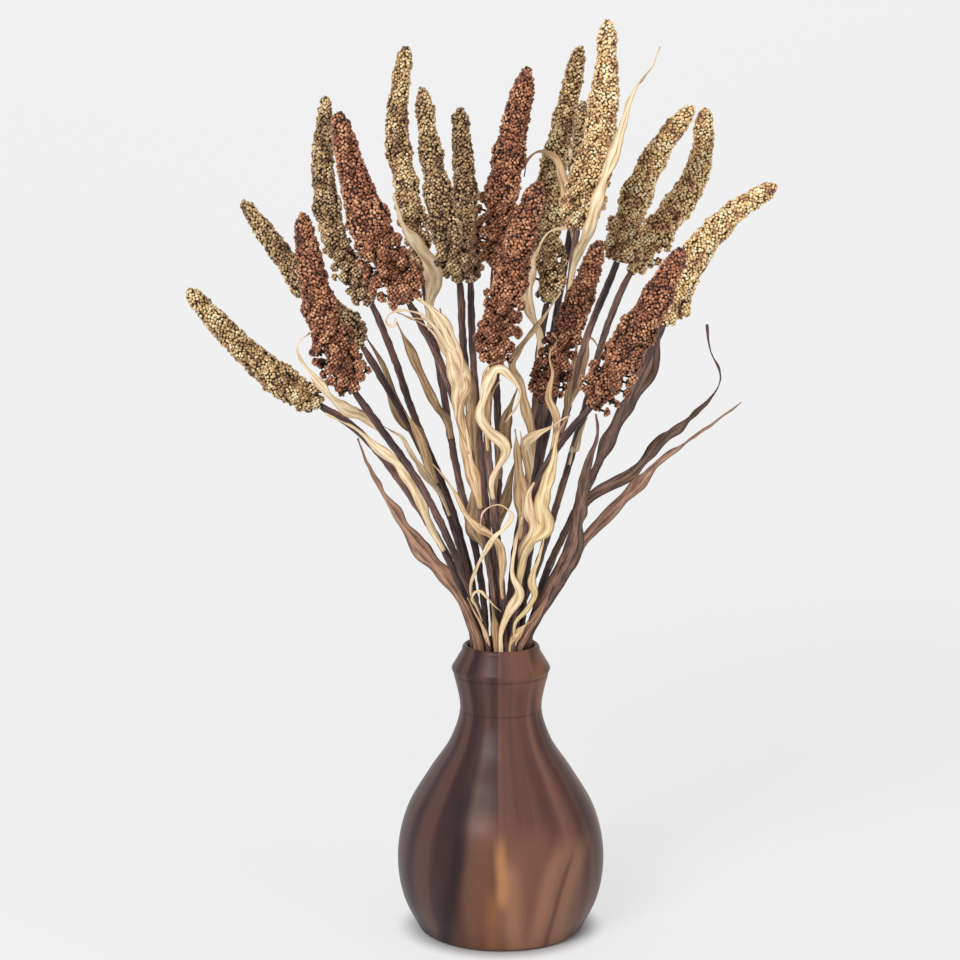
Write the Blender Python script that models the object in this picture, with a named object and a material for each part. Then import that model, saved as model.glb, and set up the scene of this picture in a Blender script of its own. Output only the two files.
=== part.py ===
"""A turned walnut vase that holds eighteen millet heads on wrapped stems, among pale husks and brown leaves.

The frame is in metres with +Z up. The origin is the middle of the vase's foot, and -Y is the front.
The sizes below are in millimetres, and MM turns them into metres where a mesh is made.
"""

import bisect
import math
import random

import bmesh
import bpy
from mathutils import Vector

MM = 0.001
GAP = 0.3

# Vase: heights and radii of the turned outline.
FOOT_RADIUS = 68
MOUTH_HEIGHT = 250
BORE_RADIUS = 28.5
FLOOR_THICKNESS = 12
RIM_EDGE = (42.4, 231)
OUTSIDE_CURVE = (
    (72, 3), (84.5, 29), (89.6, 65), (82, 104), (62, 139.5), (42.5, 170), (35.2, 196.5), (38, 215), RIM_EDGE,
)
LIP = ((33.5, 247.5), (32.5, 251), (30.3, 251.8), (BORE_RADIUS, 249.5))
INSIDE_CURVE = (
    (BORE_RADIUS, 190), (34, 168), (53, 139), (73, 104), (80, 65), (75, 32), (62, FLOOR_THICKNESS),
)
CURVE_STEPS = 2
VASE_SIDES = 32

# Stems: slimmer in the neck. Its rows, front (-2) to back (2), fan out in depth with height.
STEM_RADIUS = 3.5
NECK_SLIMMER = 0.83
SLIM_RUN = 70
STEM_SIDES_LEVEL = 1
STEM_POINTS = 9
NECK_TOP = 246
NECK_STRAIGHT = 236
ROW_GAP = 10.5
ROW_SPREAD = 0.14
EYE = Vector((-18, -2000, 720))

# Heads: a lattice of triangles round the axis, with one vertex in three raised as a cluster of grain.
AROUND = 12
RING_PITCH = 7.9
CLUSTER_RISE = 1.8
CLUSTER_DIP = 1.5
UNEVEN = 0.7
SHOULDER = 0.10
CROWN = 0.88
FOOT_SHARE = 0.42

# Husks and leaves: thin ribbons of three points across, at stations up to STATION apart.
BLADE_THICKNESS = 0.8
STATION = 12
FEWEST_STATIONS = 8
ROOT_SHARE = 0.45
TIP_SHARE = 0.2
ROOT_RUN = 14
ROOT_CLEARANCE = 1.0
EDGE_WAVE = 0.7

COLOURS = {
    "walnut": ((0.085, 0.042, 0.028), 0.42),
    "russet": ((0.24, 0.07, 0.03), 0.8),
    "golden": ((0.60, 0.42, 0.16), 0.8),
    "tan": ((0.42, 0.29, 0.12), 0.8),
    "olive": ((0.20, 0.14, 0.06), 0.8),
    "wrap": ((0.07, 0.035, 0.025), 0.75),
    "cream": ((0.78, 0.66, 0.44), 0.7),
    "straw": ((0.60, 0.46, 0.27), 0.7),
    "yellow": ((0.68, 0.50, 0.20), 0.7),
    "khaki": ((0.34, 0.24, 0.14), 0.7),
    "brown": ((0.22, 0.12, 0.08), 0.75),
    "rosy": ((0.38, 0.22, 0.15), 0.75),
}

# Each head: colour, row, place across the neck, its radius near the foot and near the tip, way points of the
# stem, and the axis from its foot to its tip. Points are (x, height) as seen from the front; see placed().
HEADS = (
    ("tan", -1, -16, (14.5, 8),
     ((-38, 311), (-78, 382), (-132, 445)),
     ((-153, 458), (-183, 477), (-220, 509), (-264, 557))),
    ("olive", 0, -24, (14, 7),
     ((-32, 323), (-60, 404), (-99, 478)),
     ((-117, 508), (-161, 556), (-217, 631))),
    ("russet", -2, -10.5, (19.5, 7),
     ((-35, 318), (-67, 387), (-108, 447)),
     ((-124, 470), (-141, 507), (-156, 556), (-167, 621))),
    ("olive", 1, -18, (15, 6.5),
     ((-39, 360), (-73, 447), (-98, 519)),
     ((-109, 544), (-137, 592), (-149, 672), (-145, 717))),
    ("russet", -2, -3.5, (21, 7.5),
     ((-19, 377), (-32, 437), (-54, 500)),
     ((-78, 546), (-102, 591), (-126, 660), (-136, 704))),
    ("tan", 0, -12, (12, 8.5),
     ((-20, 325), (-36, 394), (-53, 494)),
     ((-68, 580), (-75, 620), (-87, 689), (-79, 758))),
    ("olive", -1, 0, (14.5, 6.5),
     ((-17, 360), (-26, 446), (-33, 522)),
     ((-35, 562), (-47, 608), (-58, 664), (-66, 724))),
    ("olive", 1, -6, (13, 8.5),
     ((-12, 360), (-19, 437), (-25, 522)),
     ((-26, 562), (-30, 631), (-35, 708))),
    ("russet", 0, 0, (18, 9),
     ((-4, 325), (-2, 409), (-5, 500)),
     ((-6, 575), (-2, 623), (5, 664), (22, 741))),
    ("russet", -2, 3.5, (17.5, 9.5),
     ((-5, 360), (-12, 444)),
     ((-7, 493), (3, 547), (17, 602), (32, 647))),
    ("tan", 1, 6, (16, 7.5),
     ((11, 325), (26, 418), (33, 514)),
     ((38, 545), (41, 647), (50, 689), (65, 758))),
    ("olive", 2, 1, (14, 7),
     ((14, 325), (32, 420), (44, 522)),
     ((58, 608), (66, 664), (67, 713))),
    ("golden", 0, 12, (18, 7.5),
     ((27, 377), (50, 497), (59, 572)),
     ((63, 607), (79, 672), (86, 726), (87, 780))),
    ("golden", 1, 18, (16, 8),
     ((26, 342), (54, 448), (74, 522)),
     ((97, 580), (111, 631), (136, 680), (159, 709))),
    ("golden", 2, 10, (17, 8),
     ((33, 325), (68, 445), (91, 531)),
     ((108, 570), (129, 602), (163, 655), (169, 708))),
    ("golden", 0, 24, (15, 8),
     ((34, 299), (73, 387), (115, 480)),
     ((136, 526), (158, 579), (191, 618), (230, 644))),
    ("russet", -2, 10.5, (19.5, 8.5),
     ((18, 325), (33, 397), (61, 440)),
     ((76, 457), (100, 497), (129, 547), (152, 592))),
    ("russet", -1, 11, (16.5, 8),
     ((18, 360), (29, 430)),
     ((34, 461), (51, 509), (70, 560), (83, 598))),
)

# Each husk or leaf: colour, root, width, twist in degrees at the tip, and points (x, height, row). A root is
# (stem number, height on it, side: -1 its front or 1 its back), or (x, y) inside the neck.
BLADES = {
    "husk_01": ("cream", (3, 414, 1), 8, 60,
        ((-117, 449, -1.9), (-130, 454, -2.2), (-140, 461, -2.45), (-152, 474, -2.65),
         (-168, 496, -2.65), (-172, 509, -2.6), (-161, 520, -2.4))),
    "husk_02": ("cream", (1, 338, -1), 9.5, 50,
        ((-62, 358, -1.4), (-70, 380, -1.5), (-84, 404, -1.5), (-104, 420, -1.5),
         (-122, 437, -1.5), (-149, 451, -1.55))),
    "husk_03": ("cream", (6, 524, -1), 13, 40,
        ((-58, 572, -0.5), (-72, 594, -0.5), (-84, 614, -0.5), (-90, 636, -0.5))),
    "husk_04": ("cream", (5, 446, -1), 14, 30,
        ((-35, 480, -2.4), (-41, 500, -2.55), (-49, 522, -2.65), (-58, 538, -2.7), (-70, 549, -2.75))),
    "husk_05": ("khaki", (6, 430, -1), 10, 20,
        ((-55, 458, -0.45), (-65, 478, -0.5), (-74, 498, -0.5), (-88, 529, -0.5))),
    "husk_06": ("khaki", (4, 418, -1), 10, 25,
        ((-78, 440, 0.5), (-92, 464, 0.5), (-98, 488, 0.5), (-114, 517, 0.5))),
    "husk_07": ("straw", (2, 392, -1), 9, 15,
        ((-67, 424, -0.4), (-75, 442, -0.45), (-83, 455, -0.5))),
    "husk_08": ("straw", (7, 443, -1), 9, 60,
        ((-31, 481, -1.5), (-40, 503, -1.5), (-52, 540, -1.5))),
    "husk_09": ("cream", (11, 494, -1), 8, 80,
        ((22, 545, 0.5), (22, 568, 0.45), (31, 591, 0.4), (38, 603, 0.4), (60, 609, 0.4))),
    "husk_10": ("straw", (13, 580, 1), 8, 60,
        ((56, 622, 0.4), (50, 650, 0.45), (43, 666, 0.45), (32, 671, 0.45), (22, 664, 0.45),
         (19, 650, 0.45))),
    "husk_11": ("cream", (13, 556, -1), 9, 70,
        ((73, 606, -0.5), (84, 645, -0.5), (98, 686, -0.5), (110, 722, -0.5), (126, 744, -0.5),
         (130, 757, -0.5))),
    "husk_12": ("straw", (18, 404, -1), 7, 60,
        ((25, 436, -1.4), (19, 462, -1.5), (16, 478, -1.55), (8, 492, -1.55), (15, 507, -1.6),
         (30, 526, -1.6), (50, 554, -1.65))),
    "husk_13": ("cream", (10, 388, -1), 8, 45,
        ((3, 424, -2.35), (-10, 436, -2.4), (-18, 449, -2.45), (-15, 465, -2.5), (-10, 481, -2.55),
         (-2, 490, -2.6), (9, 482, -2.6), (16, 470, -2.6), (12, 456, -2.6), (3, 444, -2.55))),
    "husk_14": ("straw", (17, 408, 1), 5, 90,
        ((46, 450, -1.65), (40, 464, -1.65), (43, 484, -1.65), (41, 503, -1.65), (47, 514, -1.65),
         (43, 520, -1.65))),
    "husk_15": ("yellow", (17, 304, -1), 10, 60,
        ((24, 338, -2.35), (37, 354, -2.45), (34, 372, -2.5), (37, 388, -2.5), (44, 412, -2.5),
         (49, 436, -2.5), (58, 450, -2.5))),
    "husk_16": ("cream", (0, -25.5), 7, 50,
        ((0, 262, -2.42), (7, 280, -2.45), (15, 297, -2.5), (10, 309, -2.5), (11, 335, -2.5),
         (18, 362, -2.5))),
    "husk_17": ("cream", (3, 290, -1), 3.5, 60,
        ((-20, 320, -2.75), (-8, 342, -2.85), (8, 366, -2.9), (-3, 373, -2.9), (-14, 368, -2.9),
         (-18, 353, -2.9))),
    "husk_18": ("straw", (10, 298, -1), 6, 40,
        ((1, 325, -2.35), (-4, 342, -2.4), (-20, 353, -2.4), (-32, 367, -2.4), (-41, 386, -2.4),
         (-58, 408, -2.4))),
    "leaf_01": ("rosy", (-20.5, -5.3), 12, 50,
        ((-30, 282, -0.5), (-45, 308, -0.5), (-68, 333, -0.5), (-90, 365, -0.5), (-113, 407, -0.5),
         (-122, 430, -0.5))),
    "leaf_02": ("brown", (18.2, -11.2), 13, 35,
        ((26, 266, -1.3), (50, 311, -2.2), (62, 337, -2.5), (66, 366, -2.55), (74, 410, -2.6),
         (81, 430, -2.6), (80, 451, -2.6))),
    "leaf_03": ("brown", (16, 318, -1), 9, 100,
        ((72, 376, -0.5), (115, 404, -0.5), (135, 429, -0.5), (163, 451, -0.5), (185, 480, -0.5),
         (175, 508, -0.5), (173, 527, -0.5))),
    "leaf_04": ("rosy", (21.6, -5.2), 10, 80,
        ((27, 266, -0.6), (44, 296, -0.9), (67, 338, -1.2), (100, 374, -1.2), (136, 412, -1.2),
         (160, 429, -1.2), (203, 461, -1.2))),
    "leaf_05": ("brown", (16, 374, 1), 12, 60,
        ((100, 447, 0.5), (123, 488, 0.5), (134, 527, 0.5), (152, 547, 0.5), (174, 581, 0.5))),
}


def finish(name):
    """The matt material of one of the colours above."""
    colour, roughness = COLOURS[name]
    material = bpy.data.materials.new(name)
    material.use_nodes = True
    shader = material.node_tree.nodes["Principled BSDF"]
    shader.inputs["Base Color"].default_value = (*colour, 1)
    shader.inputs["Roughness"].default_value = roughness
    return material


def add(name, data, colour):
    """Links an object of this name and colour, at the origin."""
    piece = bpy.data.objects.new(name, data)
    data.materials.append(finish(colour))
    bpy.context.scene.collection.objects.link(piece)
    return piece


def blend(share):
    """Eases a share from 0 to 1, flat at both ends."""
    share = min(max(share, 0), 1)
    return share * share * (3 - 2 * share)


class Route:
    """A smooth curve through points, measured along its length in millimetres."""

    STEPS = 8

    def __init__(self, points):
        points = [Vector(p) for p in points]
        ways = [self.direction(points, i) for i in range(len(points))]
        self.points = [points[0]]
        for a, b, leave, arrive in zip(points, points[1:], ways, ways[1:]):
            reach = (b - a).length / 3
            for step in range(1, self.STEPS + 1):
                t = step / self.STEPS
                self.points.append(
                    a * (1 - t) ** 3
                    + (a + leave * reach) * 3 * t * (1 - t) ** 2
                    + (b - arrive * reach) * 3 * t * t * (1 - t)
                    + b * t**3
                )
        self.marks = [0]
        for a, b in zip(self.points, self.points[1:]):
            self.marks.append(self.marks[-1] + (b - a).length)
        self.length = self.marks[-1]

    @staticmethod
    def direction(points, i):
        """The way through point i, led by its nearer neighbour."""
        back = points[i] - points[max(i - 1, 0)]
        on = points[min(i + 1, len(points) - 1)] - points[i]
        return (back.normalized() * (on.length or 1) + on.normalized() * (back.length or 1)).normalized()

    def at(self, distance):
        """The point and the direction at this distance along."""
        i = min(max(bisect.bisect_right(self.marks, distance) - 1, 0), len(self.marks) - 2)
        a, b = self.points[i], self.points[i + 1]
        share = (distance - self.marks[i]) / (self.marks[i + 1] - self.marks[i])
        ahead = self.points[min(i + 2, len(self.points) - 1)] - a
        behind = b - self.points[max(i - 1, 0)]
        return a.lerp(b, share), behind.normalized().lerp(ahead.normalized(), share).normalized()

    def nearest(self, point):
        """The distance along at which the curve passes this one of its own points."""
        return self.marks[min(range(len(self.points)), key=lambda i: (self.points[i] - point).length)]

    def height_mark(self, height):
        """The distance along at which the curve first reaches this height."""
        for a, b, mark in zip(self.points, self.points[1:], self.marks):
            if a.z <= height < b.z:
                return mark + (b - a).length * (height - a.z) / (b.z - a.z)
        return self.length


def placed(x, height, row):
    """The point seen at x and height on the axis's upright plane, slid along the sight line to its row."""
    depth = row * (ROW_GAP + ROW_SPREAD * max(height - MOUTH_HEIGHT, 0))
    return EYE + (Vector((x, 0, height)) - EYE) * (1 + depth / -EYE.y)


def across(direction):
    """Two unit vectors square to a direction: one sideways and one towards the back."""
    sideways = direction.cross(Vector((0, 1, 0))).normalized()
    return sideways, sideways.cross(direction)


def vase():
    """The vase: half its section, spun round the axis."""
    outside = Route([(r, 0, z) for r, z in OUTSIDE_CURVE])
    inside = Route([(r, 0, z) for r, z in INSIDE_CURVE])
    section = [Vector((0, 0, 0)), Vector((FOOT_RADIUS, 0, 0))]
    section += outside.points[:: Route.STEPS // CURVE_STEPS]
    section += [Vector((r, 0, z)) for r, z in LIP]
    section += inside.points[:: Route.STEPS // CURVE_STEPS]
    section.append(Vector((0, 0, FLOOR_THICKNESS)))
    mesh = bmesh.new()
    corners = [mesh.verts.new(p * MM) for p in section]
    edges = [mesh.edges.new(pair) for pair in zip(corners, corners[1:])]
    bmesh.ops.spin(
        mesh, geom=corners + edges, axis=(0, 0, 1), cent=(0, 0, 0), angle=math.tau, steps=VASE_SIDES
    )
    bmesh.ops.remove_doubles(mesh, verts=mesh.verts, dist=0.01 * MM)
    bmesh.ops.recalc_face_normals(mesh, faces=mesh.faces)
    data = bpy.data.meshes.new("vase")
    mesh.to_mesh(data)
    mesh.free()
    data.shade_smooth()
    data.set_sharp_from_angle(angle=math.radians(35))
    add("vase", data, "walnut")


def stem(name, route, end):
    """A wrapped stem from the vase's floor to just under its head."""
    bare = route.height_mark(NECK_TOP)
    stops = [0, bare] + [bare + (end - bare) * i / (STEM_POINTS - 1) for i in range(1, STEM_POINTS)]
    curve = bpy.data.curves.new(name, "CURVE")
    curve.dimensions = "3D"
    line = curve.splines.new("POLY")
    line.points.add(len(stops) - 1)
    for spot, stop in zip(line.points, stops):
        point = route.at(stop)[0]
        spot.co = (*(point * MM), 1)
        spot.radius = NECK_SLIMMER + (1 - NECK_SLIMMER) * blend((point.z - MOUTH_HEIGHT) / SLIM_RUN)
    curve.bevel_depth = STEM_RADIUS * MM
    curve.bevel_resolution = STEM_SIDES_LEVEL
    curve.use_fill_caps = True
    add(name, curve, "wrap")


def head(name, colour, route, start, plump, seed):
    """A grain head along the route from start to its end, knobbly with clusters of grain."""
    draw = random.Random(seed)
    wide, narrow = plump
    length = route.length - start - narrow / 2
    rings = round(length / RING_PITCH)
    mesh = bmesh.new()
    loops = []
    for i in range(rings + 1):
        share = i / rings
        centre, direction = route.at(start + length * share)
        sideways, back = across(direction)
        fill = FOOT_SHARE + (1 - FOOT_SHARE) * blend(share / SHOULDER)
        if share > CROWN:
            fill = math.sqrt(1 - 0.75 * ((share - CROWN) / (1 - CROWN)) ** 2)
        radius = fill * (narrow + (wide - narrow) * (1 - share))
        relief = min(1, radius / wide + 0.2)
        loop = []
        for j in range(AROUND):
            turn = math.tau * (j + i / 2) / AROUND
            lift = CLUSTER_RISE if (j - i) % 3 == 0 else -CLUSTER_DIP
            out = radius + relief * (lift + draw.uniform(-UNEVEN, UNEVEN))
            outwards = sideways * math.cos(turn) + back * math.sin(turn)
            loop.append(mesh.verts.new((centre + outwards * out) * MM))
        loops.append(loop)
    for low, high in zip(loops, loops[1:]):
        for j in range(AROUND):
            mesh.faces.new((low[j - 1], low[j], high[j - 1]))
            mesh.faces.new((high[j - 1], low[j], high[j]))
    under = mesh.verts.new(route.at(start)[0] * MM)
    peak = mesh.verts.new(route.at(route.length)[0] * MM)
    for j in range(AROUND):
        mesh.faces.new((loops[0][j], loops[0][j - 1], under))
        mesh.faces.new((loops[-1][j - 1], loops[-1][j], peak))
    bmesh.ops.recalc_face_normals(mesh, faces=mesh.faces)
    data = bpy.data.meshes.new(name)
    mesh.to_mesh(data)
    mesh.free()
    add(name, data, colour)


def blade_route(root, points, stems):
    """The middle line of a husk or leaf, from where it leaves its stem or the neck."""
    if len(root) == 2:
        start = [Vector((*root, NECK_STRAIGHT)), Vector((*root, NECK_TOP))]
    else:
        number, height, side = root
        host = stems[number]
        offset = Vector((0, side * (STEM_RADIUS + ROOT_CLEARANCE + BLADE_THICKNESS / 2), 0))
        low = host.height_mark(height)
        start = [host.at(low)[0] + offset, host.at(low + ROOT_RUN)[0] + offset]
    return Route(start + [placed(*p) for p in points])


def blade(name, colour, route, width, twist, seed):
    """A husk or leaf: a ribbon, narrow at its root, pointed at its tip, waved along its edges."""
    draw = random.Random(seed)
    mesh = bmesh.new()
    rows = []
    count = max(round(route.length / STATION), FEWEST_STATIONS)
    for i in range(count + 1):
        share = i / count
        middle, direction = route.at(route.length * share)
        sideways, back = across(direction)
        turn = math.radians(twist) * blend((share - 0.15) / 0.85)
        flat = sideways * math.cos(turn) + back * math.sin(turn)
        face = back * math.cos(turn) - sideways * math.sin(turn)
        full = ROOT_SHARE + (1 - ROOT_SHARE) * blend(share / 0.35)
        full *= TIP_SHARE + (1 - TIP_SHARE) * blend((1 - share) / 0.5)
        wave = EDGE_WAVE * blend(share / 0.2)
        half = flat * (width * full / 2)
        row = [middle - half + face * draw.uniform(-wave, wave), middle]
        row.append(middle + half + face * draw.uniform(-wave, wave))
        rows.append([mesh.verts.new(p * MM) for p in row])
    for low, high in zip(rows, rows[1:]):
        for k in range(2):
            mesh.faces.new((low[k], low[k + 1], high[k]))
            mesh.faces.new((low[k + 1], high[k + 1], high[k]))
    data = bpy.data.meshes.new(name)
    mesh.to_mesh(data)
    mesh.free()
    piece = add(name, data, colour)
    shell = piece.modifiers.new("thickness", "SOLIDIFY")
    shell.thickness = BLADE_THICKNESS * MM
    shell.offset = 0


def main():
    for old in list(bpy.data.objects):
        bpy.data.objects.remove(old)
    vase()
    stems = {}
    for number, (colour, row, slot, plump, ways, axis) in enumerate(HEADS, 1):
        neck = [(slot, row * ROW_GAP, z) for z in (FLOOR_THICKNESS + GAP, NECK_STRAIGHT, NECK_TOP)]
        upper = [placed(x, z, row) for x, z in ways + axis]
        route = Route(neck + upper)
        foot = route.nearest(upper[len(ways)])
        stem(f"stem_{number:02d}", route, foot - 2 * GAP)
        head(f"head_{number:02d}", colour, route, foot, plump, number)
        stems[number] = route
    for seed, (name, (colour, root, width, twist, points)) in enumerate(BLADES.items()):
        blade(name, colour, blade_route(root, points, stems), width, twist, seed)


main()
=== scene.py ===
# %% [markdown]
# # Dried millet heads in a turned walnut vase
#
# A turned walnut vase holds eighteen dry heads of round grain. Their stems are wrapped in brown paper,
# and papery husks and strap leaves stand among them. A CAD model of it is already packed, and it fixes
# where everything is. This notebook dresses that model: each piece of it is replaced by a finer one in
# the same place.
#
# The first cell loads the model.

import bisect
import math
import random

import bmesh
import bpy
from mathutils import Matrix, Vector, noise


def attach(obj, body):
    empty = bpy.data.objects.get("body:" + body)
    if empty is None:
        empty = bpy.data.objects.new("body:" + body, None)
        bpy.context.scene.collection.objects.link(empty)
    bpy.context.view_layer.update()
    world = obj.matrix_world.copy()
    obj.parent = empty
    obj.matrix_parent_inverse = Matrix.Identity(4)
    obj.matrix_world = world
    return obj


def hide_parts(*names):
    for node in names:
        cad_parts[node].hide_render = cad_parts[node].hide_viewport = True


MM = 0.001
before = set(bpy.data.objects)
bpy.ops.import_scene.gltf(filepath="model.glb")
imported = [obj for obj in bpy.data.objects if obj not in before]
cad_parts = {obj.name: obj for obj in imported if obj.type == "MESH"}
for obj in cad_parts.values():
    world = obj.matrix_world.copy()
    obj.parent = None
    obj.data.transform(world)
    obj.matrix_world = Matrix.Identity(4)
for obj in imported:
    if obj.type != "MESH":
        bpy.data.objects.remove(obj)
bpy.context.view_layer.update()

# %% [markdown]
# ## Camera, floor and light
#
# The camera stands 2 m in front of the vase, 0.72 m up, and looks 9 degrees down. A long lens (89 mm on a
# 36 mm sensor) keeps the upright lines nearly parallel, as a product photographer would.

# %% The camera
EYE = Vector((-18, -2000, 720))
LOOK_DOWN = 9.25
camera = bpy.data.objects.new("camera", bpy.data.cameras.new("camera"))
camera.data.lens = 89.4
camera.data.sensor_width = 36
camera.location = EYE * MM
camera.rotation_euler = (math.radians(90 - LOOK_DOWN), 0, 0)
bpy.context.scene.collection.objects.link(camera)
bpy.context.scene.camera = camera
bpy.context.scene.view_settings.view_transform = "Standard"
print("camera at", tuple(round(v, 3) for v in camera.location))

# %% [markdown]
# A material and a Geometry Nodes tree are both networks of nodes. A few helpers keep them short. `put`
# adds a node and fills its sockets, either with a plain value or with a link to another node, and `tint`
# turns a colour as a paint program gives it (0 to 255) into the linear values that Blender's sockets
# hold. `maths`, `vectors`, `mottled` and `eased` put the nodes that come most often, and give their
# result.

# %% Helpers for colours and nodes
def tint(red, green, blue):
    """The linear colour of 0-255 values, with full alpha."""
    shares = (value / 255 for value in (red, green, blue))
    return (*(s / 12.92 if s < 0.04 else ((s + 0.055) / 1.055) ** 2.4 for s in shares), 1)


def put(tree, kind, inputs=None, **settings):
    """Adds a node. inputs maps a socket's name or number to a value, or to the output that feeds it."""
    node = tree.nodes.new(kind)
    for name, value in settings.items():
        setattr(node, name, value)
    for key, value in (inputs or {}).items():
        if isinstance(value, bpy.types.NodeSocket):
            tree.links.new(value, node.inputs[key])
        else:
            node.inputs[key].default_value = value
    return node


def maths(tree, operation, *values):
    """A math node's result: each value is a number or another node's output."""
    return put(tree, "ShaderNodeMath", dict(enumerate(values)), operation=operation).outputs[0]


def vectors(tree, operation, *values):
    """The same for vectors."""
    return put(tree, "ShaderNodeVectorMath", dict(enumerate(values)), operation=operation).outputs[0]


def mottled(tree, where, scale, detail):
    """Smooth noise, about 0.5 on average, at this scale and with so many finer layers."""
    return put(tree, "ShaderNodeTexNoise", {"Vector": where, "Scale": scale, "Detail": detail}).outputs[0]


def eased(tree, value, low, high, start=0.0, end=1.0):
    """start below low, end above high, and a soft step between them."""
    ends = {"Value": value, "From Min": low, "From Max": high, "To Min": start, "To Max": end}
    return put(tree, "ShaderNodeMapRange", ends, interpolation_type="SMOOTHSTEP").outputs[0]


def new_material(name, roughness=0.5):
    """A material with its tree and its shader."""
    material = bpy.data.materials.new(name)
    material.use_nodes = True
    shader = material.node_tree.nodes["Principled BSDF"]
    shader.inputs["Roughness"].default_value = roughness
    return material, material.node_tree, shader


def paint(tree, shader, colour, height=None, strength=0, distance=0):
    """Gives a shader its colour, and a bump of this height where there is one."""
    tree.links.new(colour, shader.inputs["Base Color"])
    if height is not None:
        bump = put(tree, "ShaderNodeBump", {"Height": height, "Strength": strength, "Distance": distance})
        tree.links.new(bump.outputs[0], shader.inputs["Normal"])


def link_object(name, data):
    """Puts an object with this mesh, curve or light in the scene."""
    piece = bpy.data.objects.new(name, data)
    bpy.context.scene.collection.objects.link(piece)
    return piece


def mesh_object(name, mesh):
    """Puts an object of this bmesh in the scene, and frees the bmesh."""
    data = bpy.data.meshes.new(name)
    mesh.to_mesh(data)
    mesh.free()
    return link_object(name, data)


print("sample colour, walnut brown:", [round(v, 3) for v in tint(75, 50, 45)])

# %% [markdown]
# The floor and the backdrop are one sheet that curves up behind the object, so no horizon shows. Most of
# its brightness is its own glow, which keeps it an even pale grey and grows a little further out. Close
# round the foot the glow almost vanishes, which paints a darker ring of shadow there, and plain diffuse
# grey takes the soft real shadow under the vase.

# %% Floor and backdrop in one sheet
BEND = 1.5
BEND_START = 2.2
# The painted shadow ring round the foot fades out between these two radii, in metres.
FOOT_SHADOW_START, FOOT_SHADOW_END = 0.068, 0.094
turns = [math.radians(6 * i) for i in range(16)]
SWEEP = [(-4.0, 0.0)]
SWEEP += [(BEND_START + BEND * math.sin(turn), BEND - BEND * math.cos(turn)) for turn in turns]
SWEEP += [(BEND_START + BEND, 6.0)]
sheet = bmesh.new()
lines = [[sheet.verts.new((x, y, z)) for y, z in SWEEP] for x in (-6, 6)]
for i in range(len(SWEEP) - 1):
    sheet.faces.new((lines[0][i], lines[1][i], lines[1][i + 1], lines[0][i + 1])).smooth = True
backdrop = mesh_object("backdrop", sheet)
paper, sheet_tree, _ = new_material("pale paper")
sheet_tree.nodes.clear()
spot = put(sheet_tree, "ShaderNodeTexCoord").outputs["Object"]
flat = vectors(sheet_tree, "MULTIPLY", spot, (1, 1, 0))
away = put(sheet_tree, "ShaderNodeVectorMath", {0: flat}, operation="LENGTH").outputs["Value"]
far_glow = {"Value": away, "From Min": 0.3, "From Max": 2.0, "To Max": 0.058}
far_glow = put(sheet_tree, "ShaderNodeMapRange", far_glow).outputs[0]
# Painted shadow: close round the foot the glow drops almost to nothing, so the floor there is darker under
# any light.
glow_with_painted_shadow = maths(sheet_tree, "ADD", eased(sheet_tree, away, FOOT_SHADOW_START, FOOT_SHADOW_END, 0.02, 0.64), far_glow)
grey = eased(sheet_tree, away, FOOT_SHADOW_START, FOOT_SHADOW_END, 0.5, 0.24)
glow = put(sheet_tree, "ShaderNodeEmission", {"Color": (1, 1, 1, 1), "Strength": glow_with_painted_shadow})
matt = put(sheet_tree, "ShaderNodeBsdfDiffuse", {"Color": grey})
both = put(sheet_tree, "ShaderNodeAddShader", {0: glow.outputs[0], 1: matt.outputs[0]})
put(sheet_tree, "ShaderNodeOutputMaterial", {"Surface": both.outputs[0]})
backdrop.data.materials.append(paper)
print("backdrop of", len(backdrop.data.polygons), "faces")

# %% [markdown]
# Soft light comes from a large panel high on the left and in front, and a weaker one on the right opens
# the shadows. The weaker one doesn't show in reflections, so it puts no second highlight on the wood. A
# pale world adds the light that the walls of a white studio throw back.

# %% Studio light
def panel(name, place, aim, size, power):
    """A square light panel, turned towards a point."""
    light = bpy.data.lights.new(name, "AREA")
    light.size = size
    light.energy = power
    piece = link_object(name, light)
    piece.location = place
    piece.rotation_euler = (Vector(aim) - Vector(place)).to_track_quat("-Z", "Y").to_euler()
    return piece


panel("key", (-1.4, -2.6, 2.2), (0, 0, 0.4), 1.3, 92)
panel("fill", (2.3, -1.6, 1.1), (0, 0, 0.4), 1.6, 15).visible_glossy = False
world = bpy.data.worlds.new("studio")
world.use_nodes = True
world.node_tree.nodes["Background"].inputs["Color"].default_value = (1, 1, 1, 1)
world.node_tree.nodes["Background"].inputs["Strength"].default_value = 0.42
bpy.context.scene.world = world
print("two panels and a pale world")

# %% [markdown]
# ## Where everything grows
#
# A stem, its head, and the husks that leave it all follow one smooth line, so a small class holds such a
# line. It bends cubic Bezier pieces through its points, and then answers "where am I after so many
# millimetres, and which way am I going?". The points are read from the front as x and height, and a row
# number says how far back the piece stands: -2 is the front row of the neck and 2 the back. `placed`
# slides a point along the line of sight to its row, so its place in the picture stays.

# %% A smooth line, measured along its length
ROW_GAP = 10.5
ROW_SPREAD = 0.14
MOUTH_HEIGHT = 250


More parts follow.
